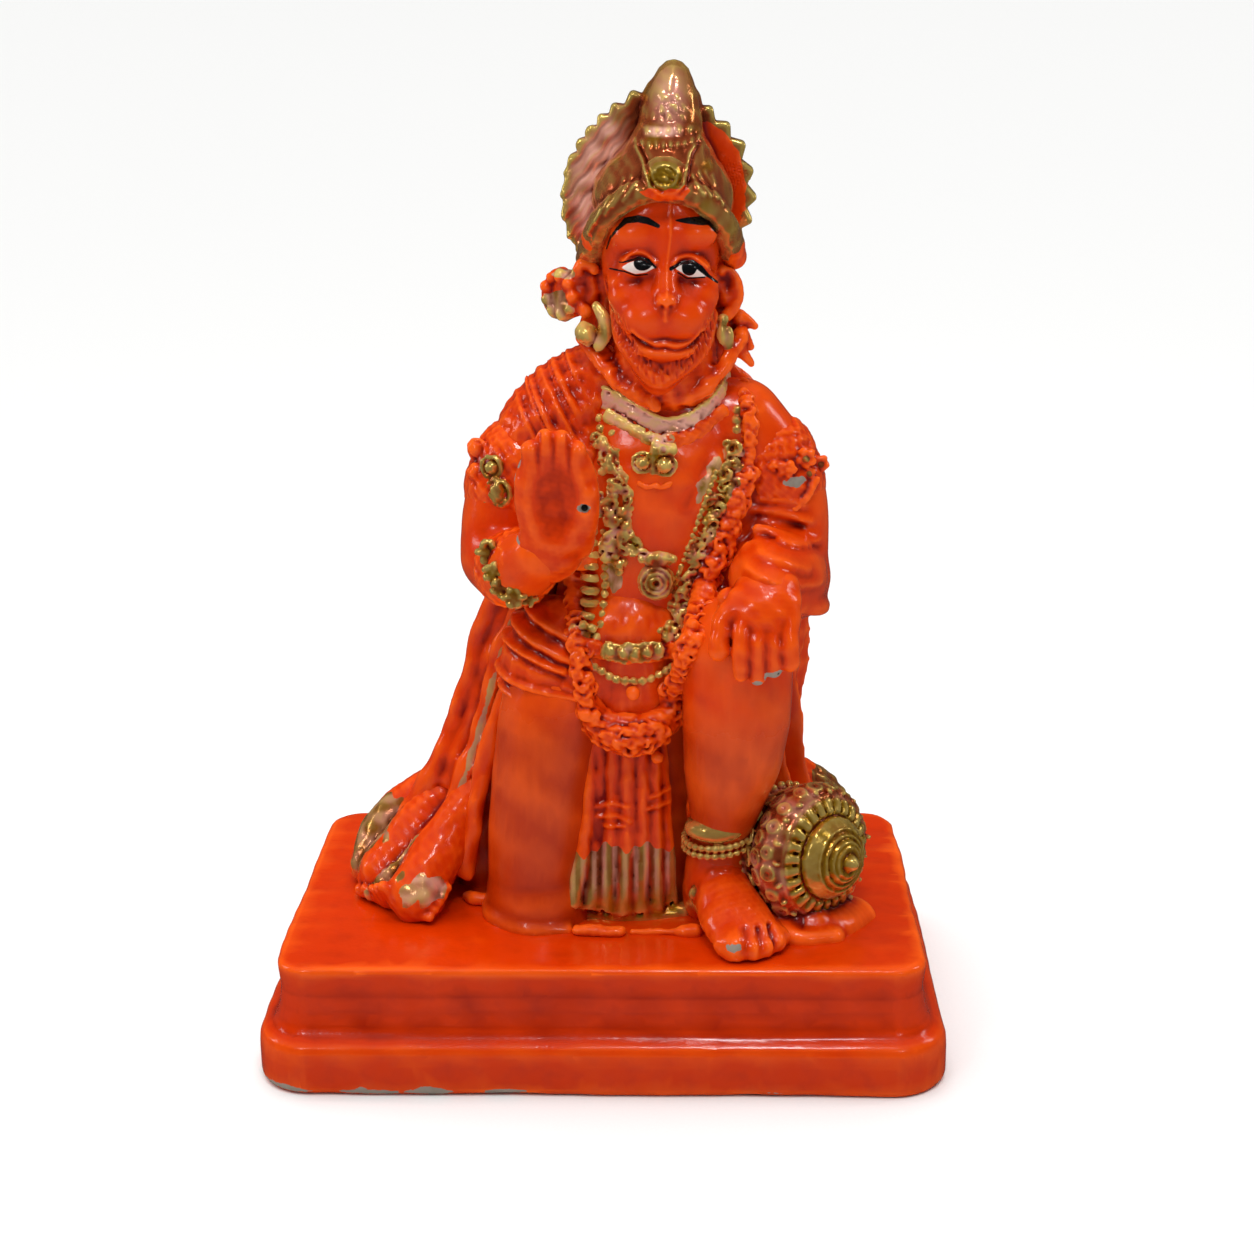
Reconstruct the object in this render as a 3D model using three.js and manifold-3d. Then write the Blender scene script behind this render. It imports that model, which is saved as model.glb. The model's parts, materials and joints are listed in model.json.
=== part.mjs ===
// A painted hanuman figure that kneels on one knee on a stepped plinth, cast as one solid piece.
// Millimetres, +Z up, the origin under the middle of the plinth, the figure facing -Y.
// The figure's forms are written for a figure MODELLED_HEIGHT tall, in a frame of its own whose z is the
// height above the deck, and are scaled together to FIGURE_HEIGHT. Left and right are the viewer's.

import * as THREE from "three";
import { mergeVertices } from "three/addons/utils/BufferGeometryUtils.js";
import Module from "manifold-3d";

// Driving dimensions of the plinth.
const DECK_WIDTH = 166;
const DECK_DEPTH = 100;
const PLINTH_HEIGHT = 33;
const STEP_HEIGHT = 14.5;
const STEP_REACH = 5.5; // how far the lower step stands out past the deck's edge
const STEP_EDGE_RADIUS = 3;
const CORNER_RADIUS = 9;
const COVE_DEPTH = 1.2; // how far the wall above the step hollows in
const DECK_EDGE = 1; // the softened edge round the deck
const UNDERSIDE_BEVEL = 1.2;

// Driving dimensions of the figure.
const FIGURE_HEIGHT = 217; // from the deck to the tip of the crown
const TOE_MARGIN = 2.2; // from the deck's front edge to the toe

// The frame that the forms below are written in.
const MODELLED_HEIGHT = 217;
const MODELLED_TOE_REACH = 47.8; // how far the toe stands in front of the frame's origin
const SINK = 1.5; // how far the forms that stand on the deck run down into the plinth

const wasm = await Module();
wasm.setup();

const up = new THREE.Vector3(0, 0, 1);
const across = new THREE.Vector3(1, 0, 0);
const vector = ([x, y, z]) => new THREE.Vector3(x, y, z);
const count = (n, make) => Array.from({ length: n }, (_, i) => make(i, n > 1 ? i / (n - 1) : 0));

// A closed geometry as a solid that can be joined and cut.
function solid(geometry) {
  const bare = geometry.clone();
  bare.deleteAttribute("normal");
  bare.deleteAttribute("uv");
  const merged = mergeVertices(bare, 1e-4);
  return new wasm.Manifold(
    new wasm.Mesh({
      numProp: 3,
      vertProperties: new Float32Array(merged.attributes.position.array),
      triVerts: new Uint32Array(merged.index.array),
    }),
  );
}

const join = (solids) => solids.reduce((sum, next) => sum.add(next));

// A skin over rings of points that turn the same way, closed by a fan at each end.
function skin(rings) {
  const sides = rings[0].length;
  const points = rings.flat();
  const middle = (ring) => ring.reduce((sum, p) => sum.add(p), new THREE.Vector3()).divideScalar(sides);
  points.push(middle(rings[0]), middle(rings.at(-1)));
  const first = points.length - 2;
  const last = points.length - 1;
  const top = (rings.length - 1) * sides;
  const faces = [];
  for (let k = 0; k < sides; k++) {
    const next = (k + 1) % sides;
    for (let i = 0; i + 1 < rings.length; i++) {
      const [a, b] = [i * sides + k, i * sides + next];
      faces.push(a, b, b + sides, a, b + sides, a + sides);
    }
    faces.push(first, next, k, last, top + k, top + next);
  }
  return new THREE.BufferGeometry().setFromPoints(points).setIndex(faces);
}

// A limb through stations [x, y, z, half width, half depth], with round ends. The width lies along wide.
function limb(stations, { sides = 8, steps = 4, wide = across, end = 0.8, dome = 1 } = {}) {
  const curve = new THREE.CatmullRomCurve3(stations.map(vector));
  const size = (key, t) => {
    const at = t * (stations.length - 1);
    const i = Math.min(Math.floor(at), stations.length - 2);
    const [from, to] = stations.slice(i, i + 2).map((station) => station[key] ?? station[3]);
    return THREE.MathUtils.lerp(from, to, at - i);
  };
  const ring = (t, along, share) => {
    const forward = curve.getTangent(t);
    const side = wide.clone().addScaledVector(forward, -wide.dot(forward)).normalize();
    const back = forward.clone().cross(side);
    const [width, depth] = [size(3, t), size(4, t)];
    const centre = curve.getPoint(t).addScaledVector(forward, along * Math.min(width, depth) * end);
    return count(sides, (k) => {
      const turn = (2 * Math.PI * k) / sides;
      return centre
        .clone()
        .addScaledVector(side, width * share * Math.cos(turn))
        .addScaledVector(back, depth * share * Math.sin(turn));
    });
  };
  const rings = count(steps + 1, (i, t) => ring(t, 0, 1));
  for (let i = 1; i <= dome; i++) {
    const turn = (Math.PI / 2) * (i / (dome + 0.5));
    rings.unshift(ring(0, -Math.sin(turn), Math.cos(turn)));
    rings.push(ring(1, Math.sin(turn), Math.cos(turn)));
  }
  return solid(skin(rings));
}

// An ellipsoid.
function ball(at, [rx, ry, rz], sides = 6, rings = 4) {
  const sphere = new THREE.SphereGeometry(1, sides, rings).rotateX(Math.PI / 2);
  return solid(sphere.scale(rx, ry, rz).translate(...at));
}

// A form turned on a lathe: profile [radius, distance along axis], which starts and ends on the axis.
function turned(profile, at, axis, sides = 12) {
  const lathe = new THREE.LatheGeometry(
    profile.map(([r, t]) => new THREE.Vector2(r, t)),
    sides,
  );
  const turn = new THREE.Quaternion();
  turn.setFromUnitVectors(new THREE.Vector3(0, 1, 0), vector(axis).normalize());
  return solid(lathe.applyQuaternion(turn).translate(...at));
}

// A string of beads or flowers: a thin limb that swells at each bead, and is fuller in the middle.
function string(points, radius, beads, fuller = 0) {
  const SWELL = 0.16;
  const curve = new THREE.CatmullRomCurve3(points.map(vector));
  const stations = count(2 * beads + 1, (i, t) => {
    const p = curve.getPointAt(t);
    const middle = 1 + fuller * Math.sin(Math.PI * t) ** 6;
    return [p.x, p.y, p.z, radius * middle * (i % 2 ? 1 + SWELL : 1 - SWELL)];
  });
  return limb(stations, { sides: 4, steps: 2 * beads, wide: new THREE.Vector3(0.3, -1, 0.2) });
}

// The body, as stations from the seat up to the neck.
const TORSO = [
  [8, 4, 36, 21, 17],
  [8.5, 3, 56, 21.5, 17.5],
  [10.5, 2, 76, 18.5, 15.5],
  [13, 2, 96, 20.5, 16.5],
  [15, 3, 114, 24, 17],
  [16, 5, 126, 23, 14.5],
  [16.5, 5, 136, 15, 12],
  [16.5, 3, 147, 12, 11],
];

// The depth of the body's front at a place across and up, a little proud of it.
function onBody(x, z, proud) {
  const i = Math.max(0, TORSO.findIndex((s, k) => k + 1 < TORSO.length && z < TORSO[k + 1][2]));
  const t = THREE.MathUtils.clamp((z - TORSO[i][2]) / (TORSO[i + 1][2] - TORSO[i][2]), 0, 1);
  const [cx, cy, , half, depth] = TORSO[i].map((v, k) => THREE.MathUtils.lerp(v, TORSO[i + 1][k], t));
  const out = Math.min(0.97, Math.abs(x - cx) / half);
  return cy - depth * Math.sqrt(1 - out * out) - proud;
}

// Points [across, up, depth where it leaves the body] as points that lie on the body.
const onChest = (points, proud) => points.map(([x, z, y]) => [x, y ?? onBody(x, z, proud), z]);

function body() {
  return join([
    limb(TORSO, { sides: 11, steps: 7 }),
    limb([[8, 8, -SINK, 25, 24], [9, 5, 50, 22, 18]], { sides: 6, steps: 1, dome: 0 }), // seat
    limb([[33, 4, 108, 12], [32, -1, 84, 12.6], [29, -3, 66, 13]], { sides: 6, steps: 2 }), // flank
  ]);
}

function kneelingLeg() {
  const thigh = [
    [-17, -12, -SINK, 12.5, 14.5],
    [-17.5, -12.5, 8, 13, 15],
    [-16.5, -12, 24, 13.3, 14.2],
    [-14.5, -10, 42, 13.6, 14],
    [-10, -5, 60, 14.5, 15],
    [-3, 0, 71, 13, 14],
  ];
  const lip = [[-17, -13, -SINK, 15, 17], [-17, -13, 3, 14.4, 16.4]];
  return join([
    limb(thigh, { sides: 10, steps: 5, end: 0.2 }),
    limb(lip, { sides: 10, steps: 1, dome: 0 }), // the lip of plaster round the knee
  ]);
}

function raisedLeg() {
  const thigh = [[22, 6, 60, 14], [34, -16, 71, 13]];
  const shin = [
    [35, -20.5, 75, 14],
    [35, -21, 60, 13.8],
    [34, -20.5, 46, 12.6],
    [32, -19.5, 32, 9.4],
    [30.5, -19, 22, 7.4],
    [30.5, -18, 10, 7.6],
  ];
  const foot = [
    [29, -11, 6, 7.2, 7.5],
    [31, -22, 7.5, 8.2, 8],
    [35, -33, 5.2, 9.8, 5.8],
    [38, -41, 3.6, 9.6, 4.4],
  ];
  const toes = [[34.6, -44.6, 3, 4], [41, -44, 2.8, 3.2], [45.4, -39.6, 2.4, 2.8], [46.4, -34.6, 2, 2.4]];
  return join([
    limb(thigh, { steps: 1 }),
    limb(shin, { sides: 9, steps: 6 }),
    limb(foot, { steps: 3, end: 0.5 }),
    limb(toes, { sides: 6, steps: 3, wide: up }),
  ]);
}

// Two rings round the ankle.
function anklet() {
  const radius = 8.2;
  const rings = [
    [0, -4.6], [radius, -4.6], [radius + 1.8, -2.8], [radius + 0.2, -1.2],
    [radius + 1, 0.8], [radius - 0.4, 3.2], [0, 3.2],
  ];
  return turned(rings, [30.6, -19.3, 22.8], [0, 0, 1], 10);
}

// The arm on the left, with a strap round it above and below the elbow.
function leftArm() {
  const arm = [
    [-11.4, 5, 128, 12],
    [-17.4, 4.2, 120, 11],
    [-20.6, 4, 116.6, 12.6],
    [-22.4, 3.2, 111.6, 12.4],
    [-23.4, 2.8, 109.6, 11.2],
    [-25, 1, 101, 11],
    [-25, -0.5, 94, 10.8],
  ];
  const forearm = [
    [-25, -1, 94, 10.6],
    [-22, -9.6, 92.6, 9.6],
    [-21.4, -11, 92.8, 10.6],
    [-19.4, -15, 94.6, 10],
    [-18.6, -16.6, 95.4, 8.4],
    [-14.5, -21.5, 100, 7.2],
  ];
  return join([
    limb(arm, { sides: 9, steps: arm.length - 1 }),
    limb(forearm, { steps: forearm.length - 1 }),
  ]);
}

// The hand held up with its palm to the front, hollowed in the middle.
function raisedHand() {
  const palm = [
    [-13.5, -22.5, 98, 7, 5.6],
    [-10.5, -25.5, 107, 9, 5.2],
    [-9, -26.6, 117, 9.8, 4.6],
    [-8.8, -27, 128, 9.2, 3.8],
  ];
  const FINGER_SPACING = 4.6;
  const REACHES = [130.6, 133.6, 134, 131.6];
  const fingers = REACHES.map((reach, i) =>
    ball([-15.6 + FINGER_SPACING * i, -28.2, reach - 5], [2.3, 2.6, 5], 5, 4),
  );
  const thumb = limb([[-3, -23, 103, 3.6], [-0.6, -26, 110, 3], [-0.8, -28, 118, 2.4]], { sides: 5, steps: 2 });
  const hollow = ball([-8.8, -35, 114], [7.6, 5.6, 13.5], 7, 5);
  return join([limb(palm, { steps: 3 }), ...fingers, thumb]).subtract(hollow);
}

function rightArm() {
  const arm = [
    [36, 5, 127, 11.5],
    [41.6, 5, 119.6, 11],
    [44.2, 4.8, 116.4, 12.4],
    [46, 4.2, 111.6, 12.2],
    [46.6, 4, 109.6, 10.8],
    [48, 0, 90, 10.6],
  ];
  const sleeve = [[48.6, -1, 87, 10.8], [45.5, -10, 91.5, 12], [42, -20, 93, 9.4], [42, -26, 92, 6.8]];
  const FOLDS = 2;
  const folds = count(FOLDS, (i) =>
    limb(
      [
        [39 + 5 * i, -19 + 4 * i, 101 - 5 * i, 2.2],
        [47 + 5 * i, -11 + 5 * i, 98 - 8 * i, 2.4],
        [55.4 + 1.8 * i, 0, 89 - 7 * i, 1.8],
      ],
      { sides: 4, steps: 2 },
    ),
  );
  return join([limb(arm, { sides: 9, steps: arm.length - 1 }), limb(sleeve), ...folds]);
}

// The hand that lies over the raised knee.
function restingHand() {
  const back = [[43, -25, 92.5, 7, 5.6], [42, -31, 89.5, 8.6, 4.8], [42, -35.2, 83, 8.8, 3.8]];
  const FINGER_SPACING = 4.1;
  const REACHES = [73, 70.6, 70.2, 72];
  const fingers = REACHES.map((reach, i) => {
    const x = 36 + FINGER_SPACING * i;
    return limb([[x, -35.2, 84, 2], [x, -37.2, reach, 1.9]], { sides: 5, steps: 1 });
  });
  const thumb = limb([[33.4, -31, 87, 3.4], [30.6, -35.6, 78, 2.5]], { sides: 5, steps: 1 });
  return join([limb(back, { steps: 3, end: 0.6 }), ...fingers, thumb]);
}

// The round stones on the straps of the arms.
function strapStones() {
  const RADIUS = 3.8;
  return join(
    [
      [-29.8, -3, 118.6],
      [-25.4, -8.8, 115.4],
      [-26.4, -13.6, 98],
      [-22, -18.4, 92.6],
      [46, -6.8, 116],
      [53.6, 0, 118.2],
    ].map((at) => ball(at, [RADIUS, RADIUS, RADIUS], 5, 4)),
  );
}

function face() {
  const head = [
    [16.9, 1, 188, 12, 12],
    [16.8, 0, 180, 14.4, 14],
    [16.6, -1, 170, 14.8, 14],
    [16.6, -2.5, 160, 14.6, 13.6],
    [16.4, -5, 151, 12.8, 12.6],
    [15.6, -9.4, 144.6, 7.6, 8.6],
  ];
  const beard = [
    [2.6, -3, 158, 3.4],
    [5.6, -9, 150.4, 3.8],
    [15.2, -16.4, 143, 3.8],
    [27, -9, 149.6, 3.8],
    [30.4, -2, 157, 3.4],
  ];
  const noseBridge = [[17.6, -13, 178, 1.2], [17.7, -19, 163.6, 2.2]];
  const pair = (spread, y, z, size) => [-1, 1].map((side) => ball([17.5 + spread * side, y, z], size));
  return join([
    limb(head, { sides: 10, steps: 7, end: 0.5 }),
    ball([17, -13, 156.4], [9.8, 8.8, 6.8], 10, 5), // muzzle
    ball([17.2, -15.6, 150.8], [7.6, 5, 3]), // lower lip
    ball([17.7, -19.8, 162.4], [2.9, 3, 3.2], 5, 4), // tip of the nose
    limb(noseBridge, { sides: 4, steps: 1 }),
    ...pair(6, -12, 170.4, [4.8, 3, 3.2]), // eyes
    ...pair(8, -9.8, 162, [6, 6, 5]), // cheeks
    limb(beard, { sides: 5, steps: 4 }),
  ]);
}

// The ears with their rings, the rosette behind one of them and the hair that falls behind.
function sidesOfHead() {
  const rosette = [[0, -12], [4.6, -10], [6.6, -1], [5, 1.8], [2.8, 3.6], [0, 4.2]];
  const ear = (x, inward) =>
    join([
      ball([x, 1, 162], [2.8, 4.4, 7]),
      ball([x + inward, -3.4, 153], [3.8, 3.4, 4.4]), // earring
    ]);
  return join([
    ear(-1, 0.8),
    ear(32.8, -1),
    ball([16.4, 5, 166], [17.8, 10, 15], 8, 5), // hair under the crown
    ball([16, 8, 149.6], [21.8, 10, 15], 10, 5), // hair over the shoulders
    turned(rosette, [-8.2, 4, 161], [-0.8, -0.58, 0.1], 8),
  ]);
}

function crown() {
  const brim = [
    [-0.6, 3, 170, 3.2],
    [1.8, -7, 177.4, 3.4],
    [8.4, -13.6, 184.6, 3.6],
    [17.4, -16, 188, 3.8],
    [26.2, -13.4, 184.6, 3.6],
    [32, -6.6, 176.6, 3.4],
    [34.2, 3, 169.4, 3.2],
  ];
  const peak = [
    [0, -8], [13.4, -8], [13, 0], [10.6, 7.4], [8.4, 8.4],
    [7.2, 13.6], [5.2, 19.6], [2.8, 24.8], [0, 27.6],
  ];
  return join([
    limb(brim, { sides: 4, steps: 9, wide: up }),
    ball([17.2, 1.2, 183], [16.8, 16.8, 13.4], 10, 6),
    turned(peak, [18, 1.4, 190], [0.07, 0.2, 1], 10),
    ball([17.4, -16.8, 189.6], [5, 3, 4.4]), // front jewel
    crest(),
  ]);
}

// The round crest behind the crown, with a scalloped rim.
function crest() {
  const [RADIUS, SCALLOP, SCALLOPS, THICK] = [22.4, 1.8, 26, 4.4];
  const outline = new THREE.Shape(
    count(2 * SCALLOPS, (i) => {
      const turn = (Math.PI * i) / SCALLOPS;
      const r = RADIUS + (i % 2 ? SCALLOP : 0);
      return new THREE.Vector2(r * Math.cos(turn), r * Math.sin(turn));
    }),
  );
  const plate = new THREE.ExtrudeGeometry(outline, { depth: THICK, bevelEnabled: false });
  return solid(plate.rotateX(Math.PI / 2).translate(15.8, 12, 185.4));
}

// The collar and its pendant, the garland, the string of beads and the belt.
function jewellery() {
  const collar = onChest(
    [[-3, 137, -3], [2.4, 133.6], [9, 130.2], [16, 129], [23.6, 130.4], [30.6, 134], [35.6, 139, -1]],
    0.4,
  );
  const garland = onChest(
    [
      [36, 140, 0], [37.6, 129], [36.2, 118], [31.6, 106], [28.4, 94], [24.6, 81], [20, 70, -17.6],
      [18.6, 60, -19.4], [15.6, 51, -20.6], [7.7, 47, -21.6], [-0.8, 51, -20.8], [-4.4, 60, -19.4],
      [-6, 72, -12.6], [-6, 84], [-3.6, 95], [-1.4, 110], [-0.6, 124], [-2, 137, -4],
    ],
    1.2,
  );
  const beads = onChest(
    [
      [-1, 136, -6], [1.4, 126], [4, 116], [6, 106], [9.6, 97.6], [14.6, 94],
      [20, 97], [26, 105], [31.6, 114], [34.6, 125], [35, 136, -4],
    ],
    1.6,
  );
  const belt = onChest([[-7, 76, -3], [-3.4, 74.6], [3, 72.6], [10, 72], [17, 72.6], [24, 74.6]], -0.2);
  const band = (points, width, depth) =>
    limb(points.map((p) => [...p, width, depth]), { sides: 5, steps: 6, wide: up });
  const stone = (x, z, proud, size) => ball([x, onBody(x, z, proud), z], size);
  return join([
    band(collar, 4.4, 2.4),
    band(belt, 4.2, 2.4),
    string(garland, 3, 10, 0.6),
    string(beads, 2, 4),
    stone(15.8, 121, 0.6, [4, 2.4, 5.4]), // pendant
    stone(14.6, 92.4, 1, [5, 3, 5.4]), // medallion
    stone(-2.6, 75.4, 1.6, [4.6, 3.4, 4.8]), // clasps of the belt
    stone(17.6, 73, 1.2, [3.6, 2.8, 4]),
  ]);
}

// The waist cloth: swags over the kneeling thigh, and the pleats that hang between the legs.
function waistCloth() {
  const SWAGS = 3;
  const swags = count(SWAGS, (i) => {
    const drop = 7.4 * i;
    return limb(
      [
        [-24.6, -3, 75 - drop, 3.4],
        [-19.4, -17 - 0.8 * i, 71.6 - drop, 3.4],
        [-8, -20 - 0.8 * i, 66.6 - drop * 0.9, 3.2],
        [-1, -16 - 0.8 * i, 65.4 - drop * 0.9, 2.8],
      ],
      { sides: 4, steps: 3 },
    );
  });
  const PLEATS = 6;
  const PLEAT_DEPTH = 1.5;
  const hang = [[8.5, 62, 12, 14], [8.2, 36, 12, 15.2], [7, 4.6, 16, 18.8], [7, -SINK, 16, 19.4]];
  const pleats = hang.map(([x, z, half, front]) => {
    const folds = count(2 * PLEATS + 1, (i, t) => {
      const bow = 2.4 * Math.sin(Math.PI * t) + (i % 2 ? PLEAT_DEPTH : -PLEAT_DEPTH);
      return new THREE.Vector3(x + half * (2 * t - 1), -front - bow, z);
    });
    return [...folds, new THREE.Vector3(x + half, 0, z), new THREE.Vector3(x - half, 0, z)].reverse();
  });
  return join([solid(skin(pleats)), ...swags]);
}

// The shawl down the back, as rings round it: [height, left, right, front, back, depth of the folds].
const SHAWL = [
  [-SINK, -54, 62, -8, 40, 2.6],
  [6, -53, 61, -7, 38.5, 2.6],
  [18, -48.6, 57.8, -5, 35, 2.3],
  [38, -41, 53.6, -2, 29.5, 1.9],
  [62, -35.6, 54, 0, 26.5, 1.6],
  [82, -28, 56, 1, 25.5, 1.4],
  [106, -22.6, 52.6, 2, 24, 1.2],
  [130, -15.4, 44.6, 4, 20.4, 0.9],
  [142, -4, 34, 5, 15.5, 0.4],
];

function shawl() {
  const [SIDES, SQUARENESS] = [24, 0.72];
  const squared = (v) => Math.sign(v) * Math.abs(v) ** SQUARENESS;
  const rings = SHAWL.map(([z, left, right, front, back, fold]) =>
    count(SIDES, (k) => {
      const turn = (2 * Math.PI * k) / SIDES;
      const [c, s] = [Math.cos(turn), Math.sin(turn)];
      const out = s > -0.3 ? (k % 2 ? fold : -fold) : 0;
      const x = (left + right) / 2 + ((right - left) / 2) * squared(c) + out * c;
      const y = (front + back) / 2 + ((back - front) / 2) * squared(s) + out * s;
      return new THREE.Vector3(x, y, z);
    }),
  );
  // the ends that lie rolled on the deck
  const ends = [
    [[-45.6, 15, 18.6, 4.4], [-56, 12, 16.4, 6], [-61.8, 4, 7.6, 7]],
    [[-42, 7, 27, 4.4], [-51, 1, 16, 7], [-59.4, -5, 5, 8]],
    [[-35, -1, 27, 4.4], [-43, -9, 15, 6.6], [-49.6, -18, 5, 8]],
    [[52, 26, 18, 5], [59, 33, 12, 5.8], [62.6, 36, 4.6, 6.4]],
  ].map((stations) => limb(stations, { sides: 5, steps: 2, end: 0.6 }));
  const SHOULDER_FOLDS = 3;
  const shoulder = count(SHOULDER_FOLDS, (i) =>
    limb(
      [
        [-12.4 + 6 * i, 8, 138.6 + 1.8 * i, 3.4],
        [-19.8 + 7.8 * i, -6 - 2 * i, 133.4 + 1.2 * i, 4.4],
        [-14.6 + 6 * i, -13, 109, 3.6],
      ],
      { sides: 4, steps: 3 },
    ),
  );
  return join([solid(skin(rings)), ...ends, ...shoulder]);
}

// The mace that lies beside the foot, its round head to the front.
function mace() {
  const [HEAD, AXIS] = [[54.7, -19.7, 18.5], [0.688, -0.718, 0.106]];
  const profile = [
    [0, -56], [3.4, -56], [3.4, -14.6], [14.6, -12], [14.4, -8.2], [17.4, -3.8], [18.3, 0],
    [17.2, 3.2], [13.4, 5.6], [10.6, 5.4], [9.8, 8.6], [6.4, 10.8], [2, 12.8], [0, 15.2],
  ];
  const bed = limb([[49, -25, -SINK, 8, 7], [58, -23, -SINK, 8, 7]], { sides: 6, steps: 1, wide: up });
  return join([turned(profile, HEAD, AXIS, 13), bed]);
}

// The small cloth ends and drips that lie on the deck in front.
function deckTrimmings() {
  return join([
    limb([[-6, -29.4, 0.8, 1.9], [5, -30.2, 0.8, 1.9]], { sides: 6, steps: 1 }),
    limb([[8, -29.6, 0.6, 1.5], [23.6, -30, 1, 2.4]], { sides: 5, steps: 1 }),
    limb([[-37, -9, 0.8, 1.7], [-31.4, -12.6, 1.2, 2.2]], { sides: 5, steps: 1 }),
  ]);
}

// The plinth, as rounded rectangles: [height, reach past the deck's edge].
function plinth() {
  const shoulder = STEP_REACH - STEP_EDGE_RADIUS;
  const wall = PLINTH_HEIGHT - STEP_HEIGHT;
  const profile = [
    [0, STEP_REACH - UNDERSIDE_BEVEL],
    [UNDERSIDE_BEVEL, STEP_REACH],
    [STEP_HEIGHT - STEP_EDGE_RADIUS, STEP_REACH],
    [STEP_HEIGHT - STEP_EDGE_RADIUS * 0.3, STEP_REACH - STEP_EDGE_RADIUS * 0.3],
    [STEP_HEIGHT, shoulder],
    [STEP_HEIGHT + wall * 0.2, shoulder * 0.35 - COVE_DEPTH * 0.6],
    [STEP_HEIGHT + wall * 0.55, -COVE_DEPTH],
    [PLINTH_HEIGHT - DECK_EDGE, 0],
    [PLINTH_HEIGHT, -DECK_EDGE * 0.7],
  ];
  const CORNER_STEPS = 3;
  const rings = profile.map(([z, reach]) => {
    const [x, y] = [DECK_WIDTH / 2 + reach - CORNER_RADIUS, DECK_DEPTH / 2 + reach - CORNER_RADIUS];
    const corners = [[x, y], [-x, y], [-x, -y], [x, -y]];
    return corners.flatMap((corner, quarter) =>
      count(CORNER_STEPS + 1, (i, t) => {
        const arc = new THREE.Vector3(CORNER_RADIUS, 0, z);
        return arc.applyAxisAngle(up, (Math.PI / 2) * (quarter + t)).add(vector([...corner, 0]));
      }),
    );
  });
  return solid(skin(rings));
}

const scale = FIGURE_HEIGHT / MODELLED_HEIGHT;
const figure = join([
  body(),
  kneelingLeg(),
  raisedLeg(),
  anklet(),
  leftArm(),
  raisedHand(),
  rightArm(),
  restingHand(),
  strapStones(),
  face(),
  sidesOfHead(),
  crown(),
  jewellery(),
  waistCloth(),
  shawl(),
  mace(),
  deckTrimmings(),
])
  .scale(scale)
  .translate([0, MODELLED_TOE_REACH * scale + TOE_MARGIN - DECK_DEPTH / 2, PLINTH_HEIGHT]);

// The joined solid as a geometry: its vertices hold only a position.
function geometryOf(made) {
  const { vertProperties, triVerts } = made.getMesh();
  return new THREE.BufferGeometry()
    .setAttribute("position", new THREE.BufferAttribute(vertProperties, 3))
    .setIndex(new THREE.BufferAttribute(triVerts, 1));
}

const paint = new THREE.MeshStandardMaterial({ color: 0xdf3606, roughness: 0.35, metalness: 0 });
const casting = new THREE.Mesh(geometryOf(plinth().add(figure)), paint);
casting.name = "painted_casting";

const hanumanFigure = new THREE.Group();
hanumanFigure.name = "hanuman_figure";
hanumanFigure.add(casting);

export default hanumanFigure;
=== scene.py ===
# %% [markdown]
# # A painted plaster figure, sculpted in code
#
# The object is a small kneeling figure for a home shrine, cast in plaster together with its plinth and
# painted by hand: glossy orange-red enamel all over, antique gold on the crown, jewellery and mace.
# A figure like this could be made from subdivided boxes, but cast plaster has no hard joints: every
# form runs softly into the next. So most of it is made here like clay: forms are pressed into a grid
# of distances, and a skin is then laid over the places where the distance is zero.
#
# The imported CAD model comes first. It fixes the sizes, and every piece made here stays in its box.

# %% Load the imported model
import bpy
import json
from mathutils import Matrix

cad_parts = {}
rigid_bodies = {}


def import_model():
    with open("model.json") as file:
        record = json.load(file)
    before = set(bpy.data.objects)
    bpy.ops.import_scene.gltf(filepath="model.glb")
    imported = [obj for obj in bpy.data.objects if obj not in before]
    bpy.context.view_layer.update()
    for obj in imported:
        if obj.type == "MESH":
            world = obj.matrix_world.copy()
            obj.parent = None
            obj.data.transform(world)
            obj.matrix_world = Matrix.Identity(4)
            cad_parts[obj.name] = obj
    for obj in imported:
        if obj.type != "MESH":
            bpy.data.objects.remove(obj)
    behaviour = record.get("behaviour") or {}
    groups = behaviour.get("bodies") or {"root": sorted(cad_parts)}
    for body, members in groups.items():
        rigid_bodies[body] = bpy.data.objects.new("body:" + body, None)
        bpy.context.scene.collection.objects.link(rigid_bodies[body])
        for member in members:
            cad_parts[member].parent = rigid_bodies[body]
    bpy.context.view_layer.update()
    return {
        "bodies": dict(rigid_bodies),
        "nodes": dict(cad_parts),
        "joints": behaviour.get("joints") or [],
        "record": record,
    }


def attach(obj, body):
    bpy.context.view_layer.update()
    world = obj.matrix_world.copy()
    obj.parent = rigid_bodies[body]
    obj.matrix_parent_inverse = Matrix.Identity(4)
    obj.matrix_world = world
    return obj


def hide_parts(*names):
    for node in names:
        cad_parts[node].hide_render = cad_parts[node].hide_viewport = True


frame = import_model()

# %% Tools and units
import json
import math
from itertools import product

import bpy
import numpy as np
from mathutils import Matrix, Vector

NODE = "painted_casting"
MM = 0.001  # Blender works in metres, and the numbers below are millimetres
DECK = 33.0  # height of the plinth's deck, where the figure's own heights start
TURN = 2 * math.pi

# %% [markdown]
# ## The camera
# The photograph was taken a little above the figure, looking down at it by about 18 degrees. A long
# lens keeps the plinth from spreading. The camera's place was worked out from the plinth's edges.

# %% Place the camera
PICTURE = 1254  # pixels along each side of the picture
LENS = 2000  # focal length in the same pixels
CAMERA_AT = (22.6, -496.3, 271.9)
YAW, PITCH, ROLL = (math.radians(angle) for angle in (-1.84, 18.39, -0.71))

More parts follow.
